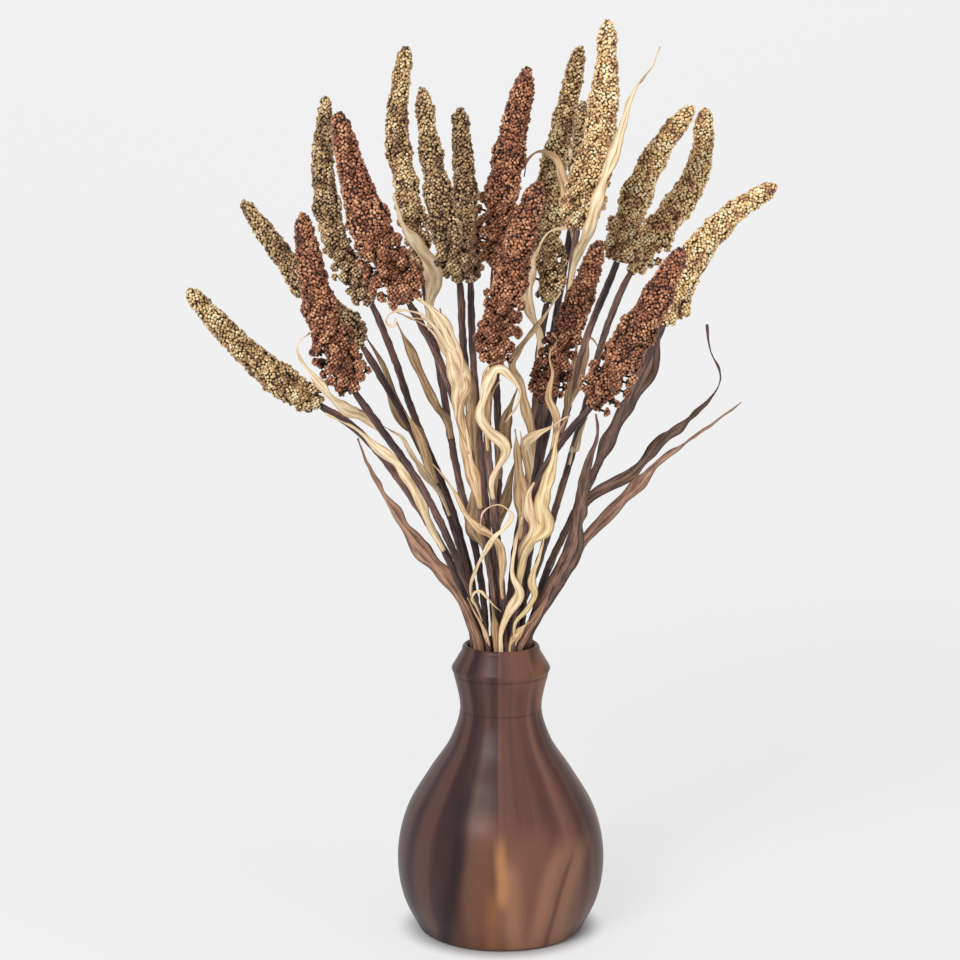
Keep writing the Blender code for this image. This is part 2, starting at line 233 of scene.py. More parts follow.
class Route:
    """A smooth curve through points, measured along its length in millimetres."""

    STEPS = 8

    def __init__(self, points):
        points = [Vector(p) for p in points]
        ways = [self.direction(points, i) for i in range(len(points))]
        self.points = [points[0]]
        for a, b, leave, arrive in zip(points, points[1:], ways, ways[1:]):
            reach = (b - a).length / 3
            for step in range(1, self.STEPS + 1):
                t = step / self.STEPS
                self.points.append(
                    a * (1 - t) ** 3
                    + (a + leave * reach) * 3 * t * (1 - t) ** 2
                    + (b - arrive * reach) * 3 * t * t * (1 - t)
                    + b * t**3
                )
        self.marks = [0]
        for a, b in zip(self.points, self.points[1:]):
            self.marks.append(self.marks[-1] + (b - a).length)
        self.length = self.marks[-1]

    @staticmethod
    def direction(points, i):
        """The way through point i, led by its nearer neighbour."""
        back = points[i] - points[max(i - 1, 0)]
        on = points[min(i + 1, len(points) - 1)] - points[i]
        return (back.normalized() * (on.length or 1) + on.normalized() * (back.length or 1)).normalized()

    def at(self, distance):
        """The point and the direction at this distance along."""
        i = min(max(bisect.bisect_right(self.marks, distance) - 1, 0), len(self.marks) - 2)
        a, b = self.points[i], self.points[i + 1]
        share = (distance - self.marks[i]) / (self.marks[i + 1] - self.marks[i])
        ahead = self.points[min(i + 2, len(self.points) - 1)] - a
        behind = b - self.points[max(i - 1, 0)]
        return a.lerp(b, share), behind.normalized().lerp(ahead.normalized(), share).normalized()

    def nearest(self, point):
        """The distance along at which the curve passes this one of its own points."""
        return self.marks[min(range(len(self.points)), key=lambda i: (self.points[i] - point).length)]

    def height_mark(self, height):
        """The distance along at which the curve first reaches this height."""
        for a, b, mark in zip(self.points, self.points[1:], self.marks):
            if a.z <= height < b.z:
                return mark + (b - a).length * (height - a.z) / (b.z - a.z)
        return self.length


def placed(x, height, row):
    """The point seen at x and height in the plane of the axis, slid along the sight line to its row."""
    depth = row * (ROW_GAP + ROW_SPREAD * max(height - MOUTH_HEIGHT, 0))
    return EYE + (Vector((x, 0, height)) - EYE) * (1 + depth / -EYE.y)


def across(direction):
    """Two unit vectors square to a direction: one sideways and one towards the back."""
    sideways = direction.cross(Vector((0, 1, 0))).normalized()
    return sideways, sideways.cross(direction)


def blend(share):
    """Eases a share from 0 to 1, flat at both ends."""
    share = min(max(share, 0), 1)
    return share * share * (3 - 2 * share)


print("a point 500 mm up, 40 mm to the left, in the back row:", [round(v) for v in placed(-40, 500, 2)])

# %% [markdown]
# The heads are counted from left to right as seen from the front. Each line gives the colour of its
# grain, its row and its place across the neck, its radius near the foot and near the tip, the points that
# its stem passes, and the points of its axis from foot to tip. They are the CAD model's own numbers.

# %% The eighteen heads
HEADS = (
    ("tan", -1, -16, (14.5, 8),
     ((-38, 311), (-78, 382), (-132, 445)),
     ((-153, 458), (-183, 477), (-220, 509), (-264, 557))),
    ("olive", 0, -24, (14, 7),
     ((-32, 323), (-60, 404), (-99, 478)),
     ((-117, 508), (-161, 556), (-217, 631))),
    ("russet", -2, -10.5, (19.5, 7),
     ((-35, 318), (-67, 387), (-108, 447)),
     ((-124, 470), (-141, 507), (-156, 556), (-167, 621))),
    ("olive", 1, -18, (15, 6.5),
     ((-39, 360), (-73, 447), (-98, 519)),
     ((-109, 544), (-137, 592), (-149, 672), (-145, 717))),
    ("russet", -2, -3.5, (21, 7.5),
     ((-19, 377), (-32, 437), (-54, 500)),
     ((-78, 546), (-102, 591), (-126, 660), (-136, 704))),
    ("tan", 0, -12, (12, 8.5),
     ((-20, 325), (-36, 394), (-53, 494)),
     ((-68, 580), (-75, 620), (-87, 689), (-79, 758))),
    ("olive", -1, 0, (14.5, 6.5),
     ((-17, 360), (-26, 446), (-33, 522)),
     ((-35, 562), (-47, 608), (-58, 664), (-66, 724))),
    ("olive", 1, -6, (13, 8.5),
     ((-12, 360), (-19, 437), (-25, 522)),
     ((-26, 562), (-30, 631), (-35, 708))),
    ("russet", 0, 0, (18, 9),
     ((-4, 325), (-2, 409), (-5, 500)),
     ((-6, 575), (-2, 623), (5, 664), (22, 741))),
    ("russet", -2, 3.5, (17.5, 9.5),
     ((-5, 360), (-12, 444)),
     ((-7, 493), (3, 547), (17, 602), (32, 647))),
    ("tan", 1, 6, (16, 7.5),
     ((11, 325), (26, 418), (33, 514)),
     ((38, 545), (41, 647), (50, 689), (65, 758))),
    ("olive", 2, 1, (14, 7),
     ((14, 325), (32, 420), (44, 522)),
     ((58, 608), (66, 664), (67, 713))),
    ("golden", 0, 12, (18, 7.5),
     ((27, 377), (50, 497), (59, 572)),
     ((63, 607), (79, 672), (86, 726), (87, 780))),
    ("golden", 1, 18, (16, 8),
     ((26, 342), (54, 448), (74, 522)),
     ((97, 580), (111, 631), (136, 680), (159, 709))),
    ("golden", 2, 10, (17, 8),
     ((33, 325), (68, 445), (91, 531)),
     ((108, 570), (129, 602), (163, 655), (169, 708))),
    ("golden", 0, 24, (15, 8),
     ((34, 299), (73, 387), (115, 480)),
     ((136, 526), (158, 579), (191, 618), (230, 644))),
    ("russet", -2, 10.5, (19.5, 8.5),
     ((18, 325), (33, 397), (61, 440)),
     ((76, 457), (100, 497), (129, 547), (152, 592))),
    ("russet", -1, 11, (16.5, 8),
     ((18, 360), (29, 430)),
     ((34, 461), (51, 509), (70, 560), (83, 598))),
)
print(len(HEADS), "heads")

# %% [markdown]
# From that table come the lines themselves. Each starts straight up from the vase's inner floor, so that
# the stems stand clear of one another in the neck, and the place where the head begins is kept beside it.

# %% The lines of the stems and heads
FLOOR_THICKNESS = 12
GAP = 0.3
NECK_STRAIGHT = 236
NECK_TOP = 246

routes = {}
for number, (_, row, place, _, ways, axis) in enumerate(HEADS, 1):
    neck = [(place, row * ROW_GAP, z) for z in (FLOOR_THICKNESS + GAP, NECK_STRAIGHT, NECK_TOP)]
    upper = [placed(x, z, row) for x, z in ways + axis]
    route = Route(neck + upper)
    routes[number] = (route, route.nearest(upper[len(ways)]))
print("the longest stem with its head measures", round(max(r.length for r, _ in routes.values())), "mm")

# %% [markdown]
# ## Geometry Nodes for what repeats
#
# Three helpers run a tree. `new_tree` makes one with named inputs. `close` ends it: it realizes the
# instances, since an exported file would lose them, and gives the material. `grow` runs it on an object
# with its own values and keeps the result as a plain mesh.

# %% Helpers that build and run a tree
def new_tree(name, **inputs):
    """A tree with these named inputs, which takes and gives geometry, and its entry's sockets."""
    tree = bpy.data.node_groups.new(name, "GeometryNodeTree")
    tree.interface.new_socket("Geometry", in_out="INPUT", socket_type="NodeSocketGeometry")
    for label, kind in inputs.items():
        tree.interface.new_socket(label, in_out="INPUT", socket_type=f"NodeSocket{kind}")
    tree.interface.new_socket("Geometry", in_out="OUTPUT", socket_type="NodeSocketGeometry")
    return tree, put(tree, "NodeGroupInput").outputs


def close(tree, geometry, material):
    """Ends a tree: smooth faces, real instances, one material."""
    smooth = put(tree, "GeometryNodeSetShadeSmooth", {"Geometry": geometry})
    real = put(tree, "GeometryNodeRealizeInstances", {"Geometry": smooth.outputs[0]})
    painted = put(tree, "GeometryNodeSetMaterial", {"Geometry": real.outputs[0], "Material": material})
    put(tree, "NodeGroupOutput", {0: painted.outputs[0]})


def grow(source, tree, **values):
    """Runs a tree on an object with these inputs, and gives a plain mesh object in its stead."""
    name = source.name
    source.name = name + "_source"
    modifier = source.modifiers.new(tree.name, "NODES")
    modifier.node_group = tree
    for item in tree.interface.items_tree:
        if item.in_out == "INPUT" and item.name in values:
            modifier[item.identifier] = values[item.name]
    graph = bpy.context.evaluated_depsgraph_get()
    mesh = bpy.data.meshes.new_from_object(
        source.evaluated_get(graph), preserve_all_data_layers=True, depsgraph=graph
    )
    source.modifiers.remove(modifier)
    bpy.data.objects.remove(source)
    mesh.name = name
    return link_object(name, mesh)


def triangles(piece):
    """How many triangles a mesh object has."""
    return sum(len(face.vertices) - 2 for face in piece.data.polygons)


def dress(piece, finish, *nodes):
    """Fastens a piece to the object, and hides the nodes it stands for. Its finish is not used."""
    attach(piece, "root")
    if nodes:
        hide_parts(*nodes)


print("helpers ready")

# %% [markdown]
# ## The turned vase
#
# A vase like this is turned on a lathe, so its shape is one outline swept round the axis. The outline is
# a smooth line too, now through more points: the foot with its small rounded edge, the belly, the neck
# with two fine grooves, the sharp rim that leans in to the mouth, the small lip, and the hollow inside.

# %% The vase's outline
FOOT_RADIUS = 68
BORE_RADIUS = 28.5
OUTSIDE = (
    (72, 3), (84.5, 29), (89.6, 65), (82, 104), (62, 139.5), (42.5, 170), (35.2, 196.5), (38, 215),
    (42.4, 231),
)
OUTSIDE_STEPS = 160
LIP = (
    (42.1, 232.4), (33.6, 246.6), (33.5, 248), (32.8, 250.6), (31.4, 251.8), (29.8, 251.4),
    (BORE_RADIUS, 249.5),
)
INSIDE = ((BORE_RADIUS, 190), (34, 168), (53, 139), (73, 104), (80, 65), (75, 32), (62, FLOOR_THICKNESS))
GROOVES = ((226.5, 0.5), (195.5, 0.4))


def groove(height):
    """How deep the lathe tool went at this height."""
    return sum(depth * math.exp(-(((height - middle) / 0.9) ** 2)) for middle, depth in GROOVES)


outside = Route([(r, 0, z) for r, z in OUTSIDE])
inside = Route([(r, 0, z) for r, z in INSIDE])
outline = [(0, 0), (FOOT_RADIUS - 1.5, 0), (FOOT_RADIUS + 0.6, 0.5)]
for step in range(OUTSIDE_STEPS + 1):
    point = outside.at(outside.length * step / OUTSIDE_STEPS)[0]
    outline.append((point.x - groove(point.z), point.z))
outline += LIP
outline += [(point.x, point.z) for point in inside.points[::2]] + [(0, FLOOR_THICKNESS)]
print(len(outline), "points from the foot, over the lip, to the inner floor")

# %% Spin it round the axis
VASE_SIDES = 128
turning = bmesh.new()
corners = [turning.verts.new((r * MM, 0, z * MM)) for r, z in outline]
edges = [turning.edges.new(pair) for pair in zip(corners, corners[1:])]
bmesh.ops.spin(
    turning, geom=corners + edges, axis=(0, 0, 1), cent=(0, 0, 0), angle=math.tau, steps=VASE_SIDES
)
bmesh.ops.remove_doubles(turning, verts=turning.verts, dist=0.01 * MM)
bmesh.ops.recalc_face_normals(turning, faces=turning.faces)
vase = mesh_object("turned_vase", turning)
vase.data.shade_smooth()
vase.data.set_sharp_from_angle(angle=math.radians(40))
print("turned vase of", triangles(vase), "triangles")

# %% [markdown]
# The vase was turned from two blocks of walnut that were glued side by side: the left one is dark
# purple-brown, the right one redder, and the seam runs down the front. In each block fine fibres run
# upwards. Some broad streaks slant across them, and `streak` draws one: it follows a straight line on the
# front view, and fades out at both ends.

# %% Walnut
SEAM = -2.5
STREAKS = (
    ((-9, 132), (-24, -10), 22, (116, 77, 56)),
    ((-27, 150), (-50, -4), 9, (40, 28, 30)),
    ((-5, 70), (-8, -4), 10, (142, 92, 60)),
    ((22, 120), (30, -10), 30, (122, 84, 66)),
    ((5, 96), (14, -8), 13, (154, 110, 84)),
    ((0, 112), (1, 48), 7, (176, 124, 84)),
    ((53, 108), (26, -4), 10, (152, 108, 84)),
    ((66, 104), (44, -4), 12, (148, 106, 84)),
    ((61, 96), (36, -4), 3, (88, 60, 50)),
    ((57, 146), (78, 92), 4, (64, 46, 42)),
    ((10, 276), (16, 222), 12, (118, 80, 64)),
    ((32, 262), (34, 196), 6, (138, 90, 64)),
)
STREAK_END = 26
GROOVE_PAINTED_SHADE = tint(36, 22, 19)
BLOCK_STOPS = (0.34, 0.5, 0.66)
BLOCKS = (((46, 32, 34), (66, 47, 47), (86, 62, 59)), ((72, 47, 43), (97, 67, 59), (120, 84, 71)))
walnut, wood, wood_shader = new_material("walnut", 0.36)


def mixed(tree, factor, low, high):
    """A colour between two others, each a colour or another node's output."""
    return put(tree, "ShaderNodeMix", {0: factor, 6: low, 7: high}, data_type="RGBA").outputs[2]


def ramp(tree, factor, stops):
    """A colour that changes with the factor: stops are (place, colour) from low to high."""
    node = put(tree, "ShaderNodeValToRGB", {"Fac": factor})
    elements = node.color_ramp.elements
    while len(elements) < len(stops):
        elements.new(1)
    for element, (place, colour) in zip(elements, stops):
        element.position = place
        element.color = colour
    return node.outputs["Color"]


def streak(tree, sideways, height, top, foot, width):
    """How strong a slanting streak is: 1 on its line from top to foot, 0 a width away and past its ends."""
    slope = (top[0] - foot[0]) / (top[1] - foot[1])
    line = maths(tree, "MULTIPLY_ADD", height, slope, (foot[0] - foot[1] * slope) * MM)
    aside = maths(tree, "ABSOLUTE", maths(tree, "SUBTRACT", sideways, line))
    near = eased(tree, aside, 1.2 * width * MM, 0.1 * width * MM)
    below = eased(tree, height, top[1] * MM, (top[1] - STREAK_END) * MM)
    above = eased(tree, height, (foot[1] - 8) * MM, (foot[1] + 8) * MM)
    return maths(tree, "MULTIPLY", maths(tree, "MULTIPLY", near, below), above)


where = put(wood, "ShaderNodeTexCoord").outputs["Object"]
axes = put(wood, "ShaderNodeSeparateXYZ", {0: where}).outputs
drift = mottled(wood, where, 16.0, 1.0)
swayed = maths(wood, "MULTIPLY_ADD", maths(wood, "SUBTRACT", drift, 0.5), 10 * MM, axes["X"])
around = vectors(wood, "NORMALIZE", vectors(wood, "MULTIPLY", where, (1, 1, 0)))
rise = put(wood, "ShaderNodeCombineXYZ", {"Z": axes["Z"]}).outputs[0]
rise = put(wood, "ShaderNodeVectorMath", {0: rise, "Scale": 0.55}, operation="SCALE").outputs[0]
fibres = mottled(wood, vectors(wood, "ADD", around, rise), 120.0, 4.0)
figure = mottled(wood, vectors(wood, "SUBTRACT", around, rise), 3.6, 1.0)
grain = maths(wood, "MULTIPLY_ADD", fibres, 0.12, maths(wood, "MULTIPLY", figure, 0.88))
left_block, right_block = (
    ramp(wood, grain, [(place, tint(*tone)) for place, tone in zip(BLOCK_STOPS, tones)]) for tones in BLOCKS
)
blocks = mixed(wood, eased(wood, axes["X"], (SEAM - 0.7) * MM, (SEAM + 0.7) * MM), left_block, right_block)
for top, foot, width, colour in STREAKS:
    strength = maths(wood, "MULTIPLY_ADD", fibres, 0.4, 0.5)
    strength = maths(wood, "MULTIPLY", strength, streak(wood, swayed, axes["Z"], top, foot, width))
    blocks = mixed(wood, strength, blocks, tint(*colour))
# Painted shade: the wood is painted darker along each of the two grooves, where shade falls in them.
for middle, _ in GROOVES:
    off = maths(wood, "ABSOLUTE", maths(wood, "SUBTRACT", axes["Z"], (middle - 0.3) * MM))
    shade = maths(wood, "MULTIPLY", eased(wood, off, 1.6 * MM, 0), 0.4)
    blocks = mixed(wood, shade, blocks, GROOVE_PAINTED_SHADE)
paint(wood, wood_shader, blocks, fibres, 0.15, 0.0002)
wood_shader.inputs["Specular IOR Level"].default_value = 0.14
vase.data.materials.append(walnut)
dress(vase, "walnut", "vase")
print("walnut of", len(wood.nodes), "nodes")

# %% [markdown]
# ## Wrapped stems
#
# The stems are thin canes wrapped in dark brown crepe paper, which lies in long creases. A stem follows a
# path, so Geometry Nodes make it: the path is cut into short steps, a ring is swept along it, and noise
# that is stretched along the stem pushes the skin in and out. The tree also writes down where each point
# is on the stem, round it and along it, in an attribute called wrap. The paper's material reads that, so
# its creases follow the bends.

# %% The tree that wraps a stem
def kept(tree, geometry, label, value, kind):
    """The geometry with a value of each point kept on it as a named attribute."""
    return put(
        tree, "GeometryNodeStoreNamedAttribute", {"Geometry": geometry, "Name": label, "Value": value},
        data_type=kind, domain="POINT",
    ).outputs[0]


def recalled(tree, label, kind):
    """The values of a named attribute."""
    return put(tree, "GeometryNodeInputNamedAttribute", {"Name": label}, data_type=kind).outputs[0]


CREASES_PER_METRE = 55.0
stem_tree, given = new_tree(
    "wrapped stem", Radius="Float", Crease="Float", Seed="Float", Step="Float", Paper="Material"
)
path = {"Curve": given["Geometry"], "Length": given["Step"]}
path = put(stem_tree, "GeometryNodeResampleCurve", path, mode="LENGTH").outputs[0]
how_far = put(stem_tree, "GeometryNodeSplineParameter").outputs["Length"]
path = kept(stem_tree, path, "along", how_far, "FLOAT")
ring = put(stem_tree, "GeometryNodeCurvePrimitiveCircle", {"Resolution": 12, "Radius": 1.0}).outputs[0]
spot = put(stem_tree, "GeometryNodeInputPosition").outputs[0]
ring = kept(stem_tree, ring, "round", spot, "FLOAT_VECTOR")
width = put(stem_tree, "GeometryNodeInputRadius").outputs[0]
size = maths(stem_tree, "MULTIPLY", width, given["Radius"])
sweep = {"Curve": path, "Profile Curve": ring, "Scale": size, "Fill Caps": True}
skin = put(stem_tree, "GeometryNodeCurveToMesh", sweep).outputs[0]
along = recalled(stem_tree, "along", "FLOAT")
turned = recalled(stem_tree, "round", "FLOAT_VECTOR")
rise = maths(stem_tree, "ADD", maths(stem_tree, "MULTIPLY", along, CREASES_PER_METRE), given["Seed"])
lifted = put(stem_tree, "ShaderNodeCombineXYZ", {"Z": rise}).outputs[0]
wrap = vectors(stem_tree, "ADD", turned, lifted)
skin = kept(stem_tree, skin, "wrap", wrap, "FLOAT_VECTOR")
folds = maths(stem_tree, "SUBTRACT", mottled(stem_tree, wrap, 1.9, 3.0), 0.5)
push = maths(stem_tree, "MULTIPLY", folds, given["Crease"])
outwards = put(stem_tree, "GeometryNodeInputNormal").outputs[0]
shift = put(stem_tree, "ShaderNodeVectorMath", {0: outwards, "Scale": push}, operation="SCALE").outputs[0]
skin = put(stem_tree, "GeometryNodeSetPosition", {"Geometry": skin, "Offset": shift}).outputs[0]
close(stem_tree, skin, given["Paper"])
print("stem tree of", len(stem_tree.nodes), "nodes")

# %% Brown crepe paper
crepe, pulp, pulp_shader = new_material("crepe paper", 0.6)
where = put(pulp, "ShaderNodeAttribute", attribute_name="wrap").outputs["Vector"]
long_way = put(pulp, "ShaderNodeMapping", {"Vector": where, "Scale": (2.4, 2.4, 0.55)}).outputs[0]
crease_height_and_shade = mottled(pulp, long_way, 2.4, 5.0)
patches = mottled(pulp, where, 0.28, 1.0)
# The paper is darker in the hollows of its creases and paler on their ridges, following the bump: painted
# shade and painted highlight over the paper's own slow patches.
tone = maths(pulp, "MULTIPLY_ADD", patches, 0.45, maths(pulp, "MULTIPLY", crease_height_and_shade, 0.6))
brown = ramp(pulp, tone, [
    (0.42, tint(28, 19, 20)), (0.5, tint(66, 46, 43)), (0.57, tint(102, 74, 68)), (0.66, tint(150, 114, 98)),
])
paint(pulp, pulp_shader, brown, crease_height_and_shade, 0.7, 0.0012)
print("crepe paper of", len(pulp.nodes), "nodes")

# %% [markdown]
# The paper's own radius is a little less than the CAD stem's, because the creases push it out again. Stems
# are slimmer in the neck, where eighteen of them have to pass, and once more just under their heads.

# %% Wrap the eighteen stems
STEM_RADIUS = 3.5
PAPER_RADIUS = 3.1
STEM_TOP_GAP = 0.6
CREASE_DEPTH = 3.6
STEM_STEPS = 60
NECK_SLIMMER = 0.83
TOP_SLIMMER = 0.8


def path_curve(name, points, radii):
    """A curve object straight from point to point, in metres, with a radius at each."""
    curve = bpy.data.curves.new(name, "CURVE")
    curve.dimensions = "3D"
    line = curve.splines.new("POLY")
    line.points.add(len(points) - 1)
    for spot, point, radius in zip(line.points, points, radii):
        spot.co = (*(point * MM), 1)
        spot.radius = radius
    return link_object(name, curve)


for number, (route, foot) in routes.items():
    end = foot - STEM_TOP_GAP
    stops = [end * i / STEM_STEPS for i in range(STEM_STEPS + 1)]
    points = [route.at(stop)[0] for stop in stops]
    radii = [NECK_SLIMMER + (1 - NECK_SLIMMER) * blend((p.z - MOUTH_HEIGHT) / 70) for p in points]
    tops = [TOP_SLIMMER + (1 - TOP_SLIMMER) * blend((end - stop) / 14) for stop in stops]
    radii = [radius * top for radius, top in zip(radii, tops)]
    cane = grow(
        path_curve(f"wrapped_stem_{number:02d}", points, radii), stem_tree,
        Radius=PAPER_RADIUS * MM, Crease=CREASE_DEPTH * MM, Seed=7.3 * number, Step=4 * MM, Paper=crepe,
    )
    dress(cane, "wrapped_stem", f"stem_{number:02d}")
print("18 stems, the last of", triangles(cane), "triangles")

# %% [markdown]
# ## Heads of grain
#
# A head is a stalk so thickly set with grain that only grain shows. The grains sit in small clusters,
# packed tight near the tip and looser near the foot, where dark gaps show between them and some clusters
# stand out to the side.
#
# The golden angle puts the clusters round the stalk, as it does the seeds on a real plant, because it
# spreads them evenly without rows. Each cluster is a rounded bump of the head's surface. The same angle,
# with smaller steps, then gives every grain its seat on those bumps. Where a size has two numbers, the
# first is for the foot of a head and the second for its tip.

# %% The bumps of a head
CLUSTER_PITCH = (12, 8)
CLUSTER_HEIGHT = (7.5, 3)
CLUSTER_REACH = 0.62
SHOULDER = 0.10
CROWN_LENGTH = 1.7
FOOT_SHARE = 0.5
TIP_SLIMMER = 0.78
BLUNTNESS = 2.4
TAPER = 0.75
GOLDEN_ANGLE = math.pi * (3 - math.sqrt(5))


def head_radius(share, plump, length):
    """The head's outer radius at this share of its length. Its foot is slimmer and its tip is blunt."""
    wide, narrow = plump[0], TIP_SLIMMER * plump[1]
    fill = FOOT_SHARE + (1 - FOOT_SHARE) * blend(share / SHOULDER)
    crown = 1 - CROWN_LENGTH * plump[1] / length
    if share > crown:
        fill = math.sqrt(max(1 - ((share - crown) / (1 - crown)) ** BLUNTNESS, 0.03))
    return fill * (narrow + (wide - narrow) * (1 - share) ** TAPER)


def bump_height(share):
    """How far a cluster stands out at this share of the length."""
    return CLUSTER_HEIGHT[1] + (CLUSTER_HEIGHT[0] - CLUSTER_HEIGHT[1]) * (1 - share) ** 1.5


def clusters(length, plump, draw):
    """Where the clusters sit: (distance up the head, turn, reach, height) of each."""
    found = []
    up, turn = 0, draw.uniform(0, math.tau)
    while up < length:
        share = up / length
        pitch = CLUSTER_PITCH[0] + (CLUSTER_PITCH[1] - CLUSTER_PITCH[0]) * share**0.5
        loose = (1 - share) ** 2
        height = bump_height(share) * draw.uniform(1 - 0.7 * loose, 1 + 0.4 * loose)
        found.append((up, turn, pitch * CLUSTER_REACH, height))
        up += pitch**2 / (math.tau * max(head_radius(share, plump, length), 3))
        turn += GOLDEN_ANGLE + draw.uniform(-0.25, 0.25)
    return found


sample = clusters(170, (17, 8), random.Random(0))
print(len(sample), "clusters on a head of 170 mm")

# %% [markdown]
# The surface is a rule: how far from the axis it lies at any distance up and any turn round. The dark
# core inside and the seats of the grains both ask that rule, so they always fit. A seat faces square to
# the surface, and the slope of the surface comes from asking the rule again a little further up and a
# little further round.

# %% The surface, the core and the seats
GRAIN_SINK = 1.7
CORE_SINK = 0.7
CORE_SIDES = 18
CORE_STEP = 3
PACKING = 0.88
NUDGE = 0.5
STRAY = 0.8
BARE_SHARE = 0.5
SWELL = 0.28
SWELL_LENGTH = 17
NEARBY = 9


class Head:
    """The surface of one head, along its route from the foot."""

    def __init__(self, route, start, plump, loose, seed):
        self.route, self.start, self.plump, self.seed = route, start, plump, seed
        self.loose = loose
        self.length = route.length - start - GRAIN_SINK
        self.draw = random.Random(seed)
        self.bumps = clusters(self.length, plump, self.draw)
        self.levels = [bump[0] for bump in self.bumps]

    def radius(self, up, turn):
        """How far from the axis the grains' middles lie."""
        share = min(max(up / self.length, 0), 1)
        swell = 1 + SWELL * noise.noise(Vector((up / SWELL_LENGTH, self.seed, 0)))
        mean = head_radius(share, self.plump, self.length) * swell
        lift = 0
        first = bisect.bisect_left(self.levels, up - NEARBY)
        for level, angle, reach, height in self.bumps[first : bisect.bisect_right(self.levels, up + NEARBY)]:
            apart = (turn - angle + math.pi) % math.tau - math.pi
            far = ((level - up) ** 2 + (apart * mean) ** 2) / reach**2
            if far < 1:
                lift = max(lift, height * math.sqrt(1 - far))
        sunk = min(0.6 * bump_height(share), 0.35 * mean)
        return max((mean - GRAIN_SINK + lift - sunk) * self.closed(share), 1.6)

    def closed(self, share):
        """How full the head is at this share of its length: 1 where it is closed, less where it is loose."""
        return 1 - BARE_SHARE * (1 - blend((share / self.loose - 0.75) / 0.35))

    def spot(self, up, turn, out):
        """The point at this distance up, turn round and distance from the axis."""
        centre, direction = self.route.at(self.start + up)
        sideways, back = across(direction)
        return centre + (sideways * math.cos(turn) + back * math.sin(turn)) * out

    def seat(self, up, turn):
        """A grain's seat: its point and the way it faces."""
        out = self.radius(up, turn)
        here = self.spot(up, turn, out)
        above = self.spot(up + 1, turn, self.radius(up + 1, turn))
        beside = self.spot(up, turn + 0.08, self.radius(up, turn + 0.08))
        facing = (beside - here).cross(above - here)
        if facing.dot(here - self.spot(up, turn, 0)) < 0:
            facing.negate()
        return here, facing.normalized()


def core_mesh(head):
    """The dark core of a head."""
    mesh = bmesh.new()
    count = round(head.length / CORE_STEP)
    rings = []
    turns = [math.tau * j / CORE_SIDES for j in range(CORE_SIDES)]
    for i in range(count + 1):
        up = head.length * i / count
        spots = [head.spot(up, turn, max(head.radius(up, turn) - CORE_SINK, 0.5)) for turn in turns]
        rings.append([mesh.verts.new(spot * MM) for spot in spots])
    for low, high in zip(rings, rings[1:]):
        for j in range(CORE_SIDES):
            mesh.faces.new((low[j - 1], low[j], high[j], high[j - 1]))
    under = mesh.verts.new(head.route.at(head.start)[0] * MM)
    peak = mesh.verts.new(head.spot(head.length, 0, 0) * MM)
    for j in range(CORE_SIDES):
        mesh.faces.new((rings[0][j], rings[0][j - 1], under))
        mesh.faces.new((rings[-1][j - 1], rings[-1][j], peak))
    return mesh


print("a core has", CORE_SIDES, "sides")

# %% [markdown]
# The lower part of a head is loose: its clusters stand apart there, each a little ball of grain on a
# short stalk of its own, with gaps between them. The golden angle spreads these tufts round the stalk
# too. A ball has grain only on its outer side, since its inner side is hidden.

# %% Grain seats, on the head and on loose tufts
TUFT_SIZE = (3.4, 5)
TUFT_PITCH = 10.5
TUFT_REACH = (-2.5, 4)
TUFT_GAPS = 0.12
HIDDEN_SIDE = -0.35
SEAT_AREA = 0.866
CROWDING = 0.25


def head_seats(head, pitch):
    """The seats all over a head, one grain's pitch apart."""
    seats = []
    up, turn = 0.4 * pitch, 0
    while up < head.length:
        share = up / head.length
        outer = head_radius(share, head.plump, head.length)
        stray = head.draw.uniform(-STRAY, STRAY) / max(outer, 3)
        place, facing = head.seat(up + head.draw.uniform(-STRAY, STRAY), turn + stray)
        seats.append((place + facing * head.draw.uniform(-NUDGE, NUDGE), facing))
        around = math.tau * max(outer * head.closed(share), 2.2)
        up += SEAT_AREA * pitch**2 / around / (1 + CROWDING * (1 - share))
        turn += GOLDEN_ANGLE
    seats.append((head.spot(head.length, 0, 0), head.route.at(head.route.length)[1]))
    return seats


def tuft_places(head):
    """Middle, size and root of each loose tuft, from the foot up to where the head closes."""
    places = []
    up, turn = 3, head.draw.uniform(0, math.tau)
    while up < head.loose * head.length:
        share = up / head.length
        size = head.draw.uniform(*TUFT_SIZE)
        radius = head_radius(share, head.plump, head.length)
        if head.draw.random() > TUFT_GAPS:
            out = max(radius - 0.8 * size, 1) + head.draw.uniform(*TUFT_REACH)
            places.append((head.spot(up, turn, out), size, head.spot(max(up - 4, 0), turn, 0)))
        up += TUFT_PITCH**2 / (math.tau * max(radius, 7))
        turn += GOLDEN_ANGLE + head.draw.uniform(-0.3, 0.3)
    return places


def tuft_seats(middle, size, root, pitch, draw):
    """Seats on the outer side of a small ball."""
    count = round(4 * math.pi * (size - 0.8) ** 2 / (SEAT_AREA * pitch**2))
    start = draw.uniform(0, math.tau)
    away = (middle - root).normalized()
    seats = []
    for i in range(count):
        height = 1 - 2 * (i + 0.5) / count
        flat = math.sqrt(1 - height**2)
        turn = start + i * GOLDEN_ANGLE
        facing = Vector((flat * math.cos(turn), flat * math.sin(turn), height))
        if facing.dot(away) > HIDDEN_SIDE:
            seats.append((middle + facing * (size + draw.uniform(-NUDGE, NUDGE) - 1), facing))
    return seats


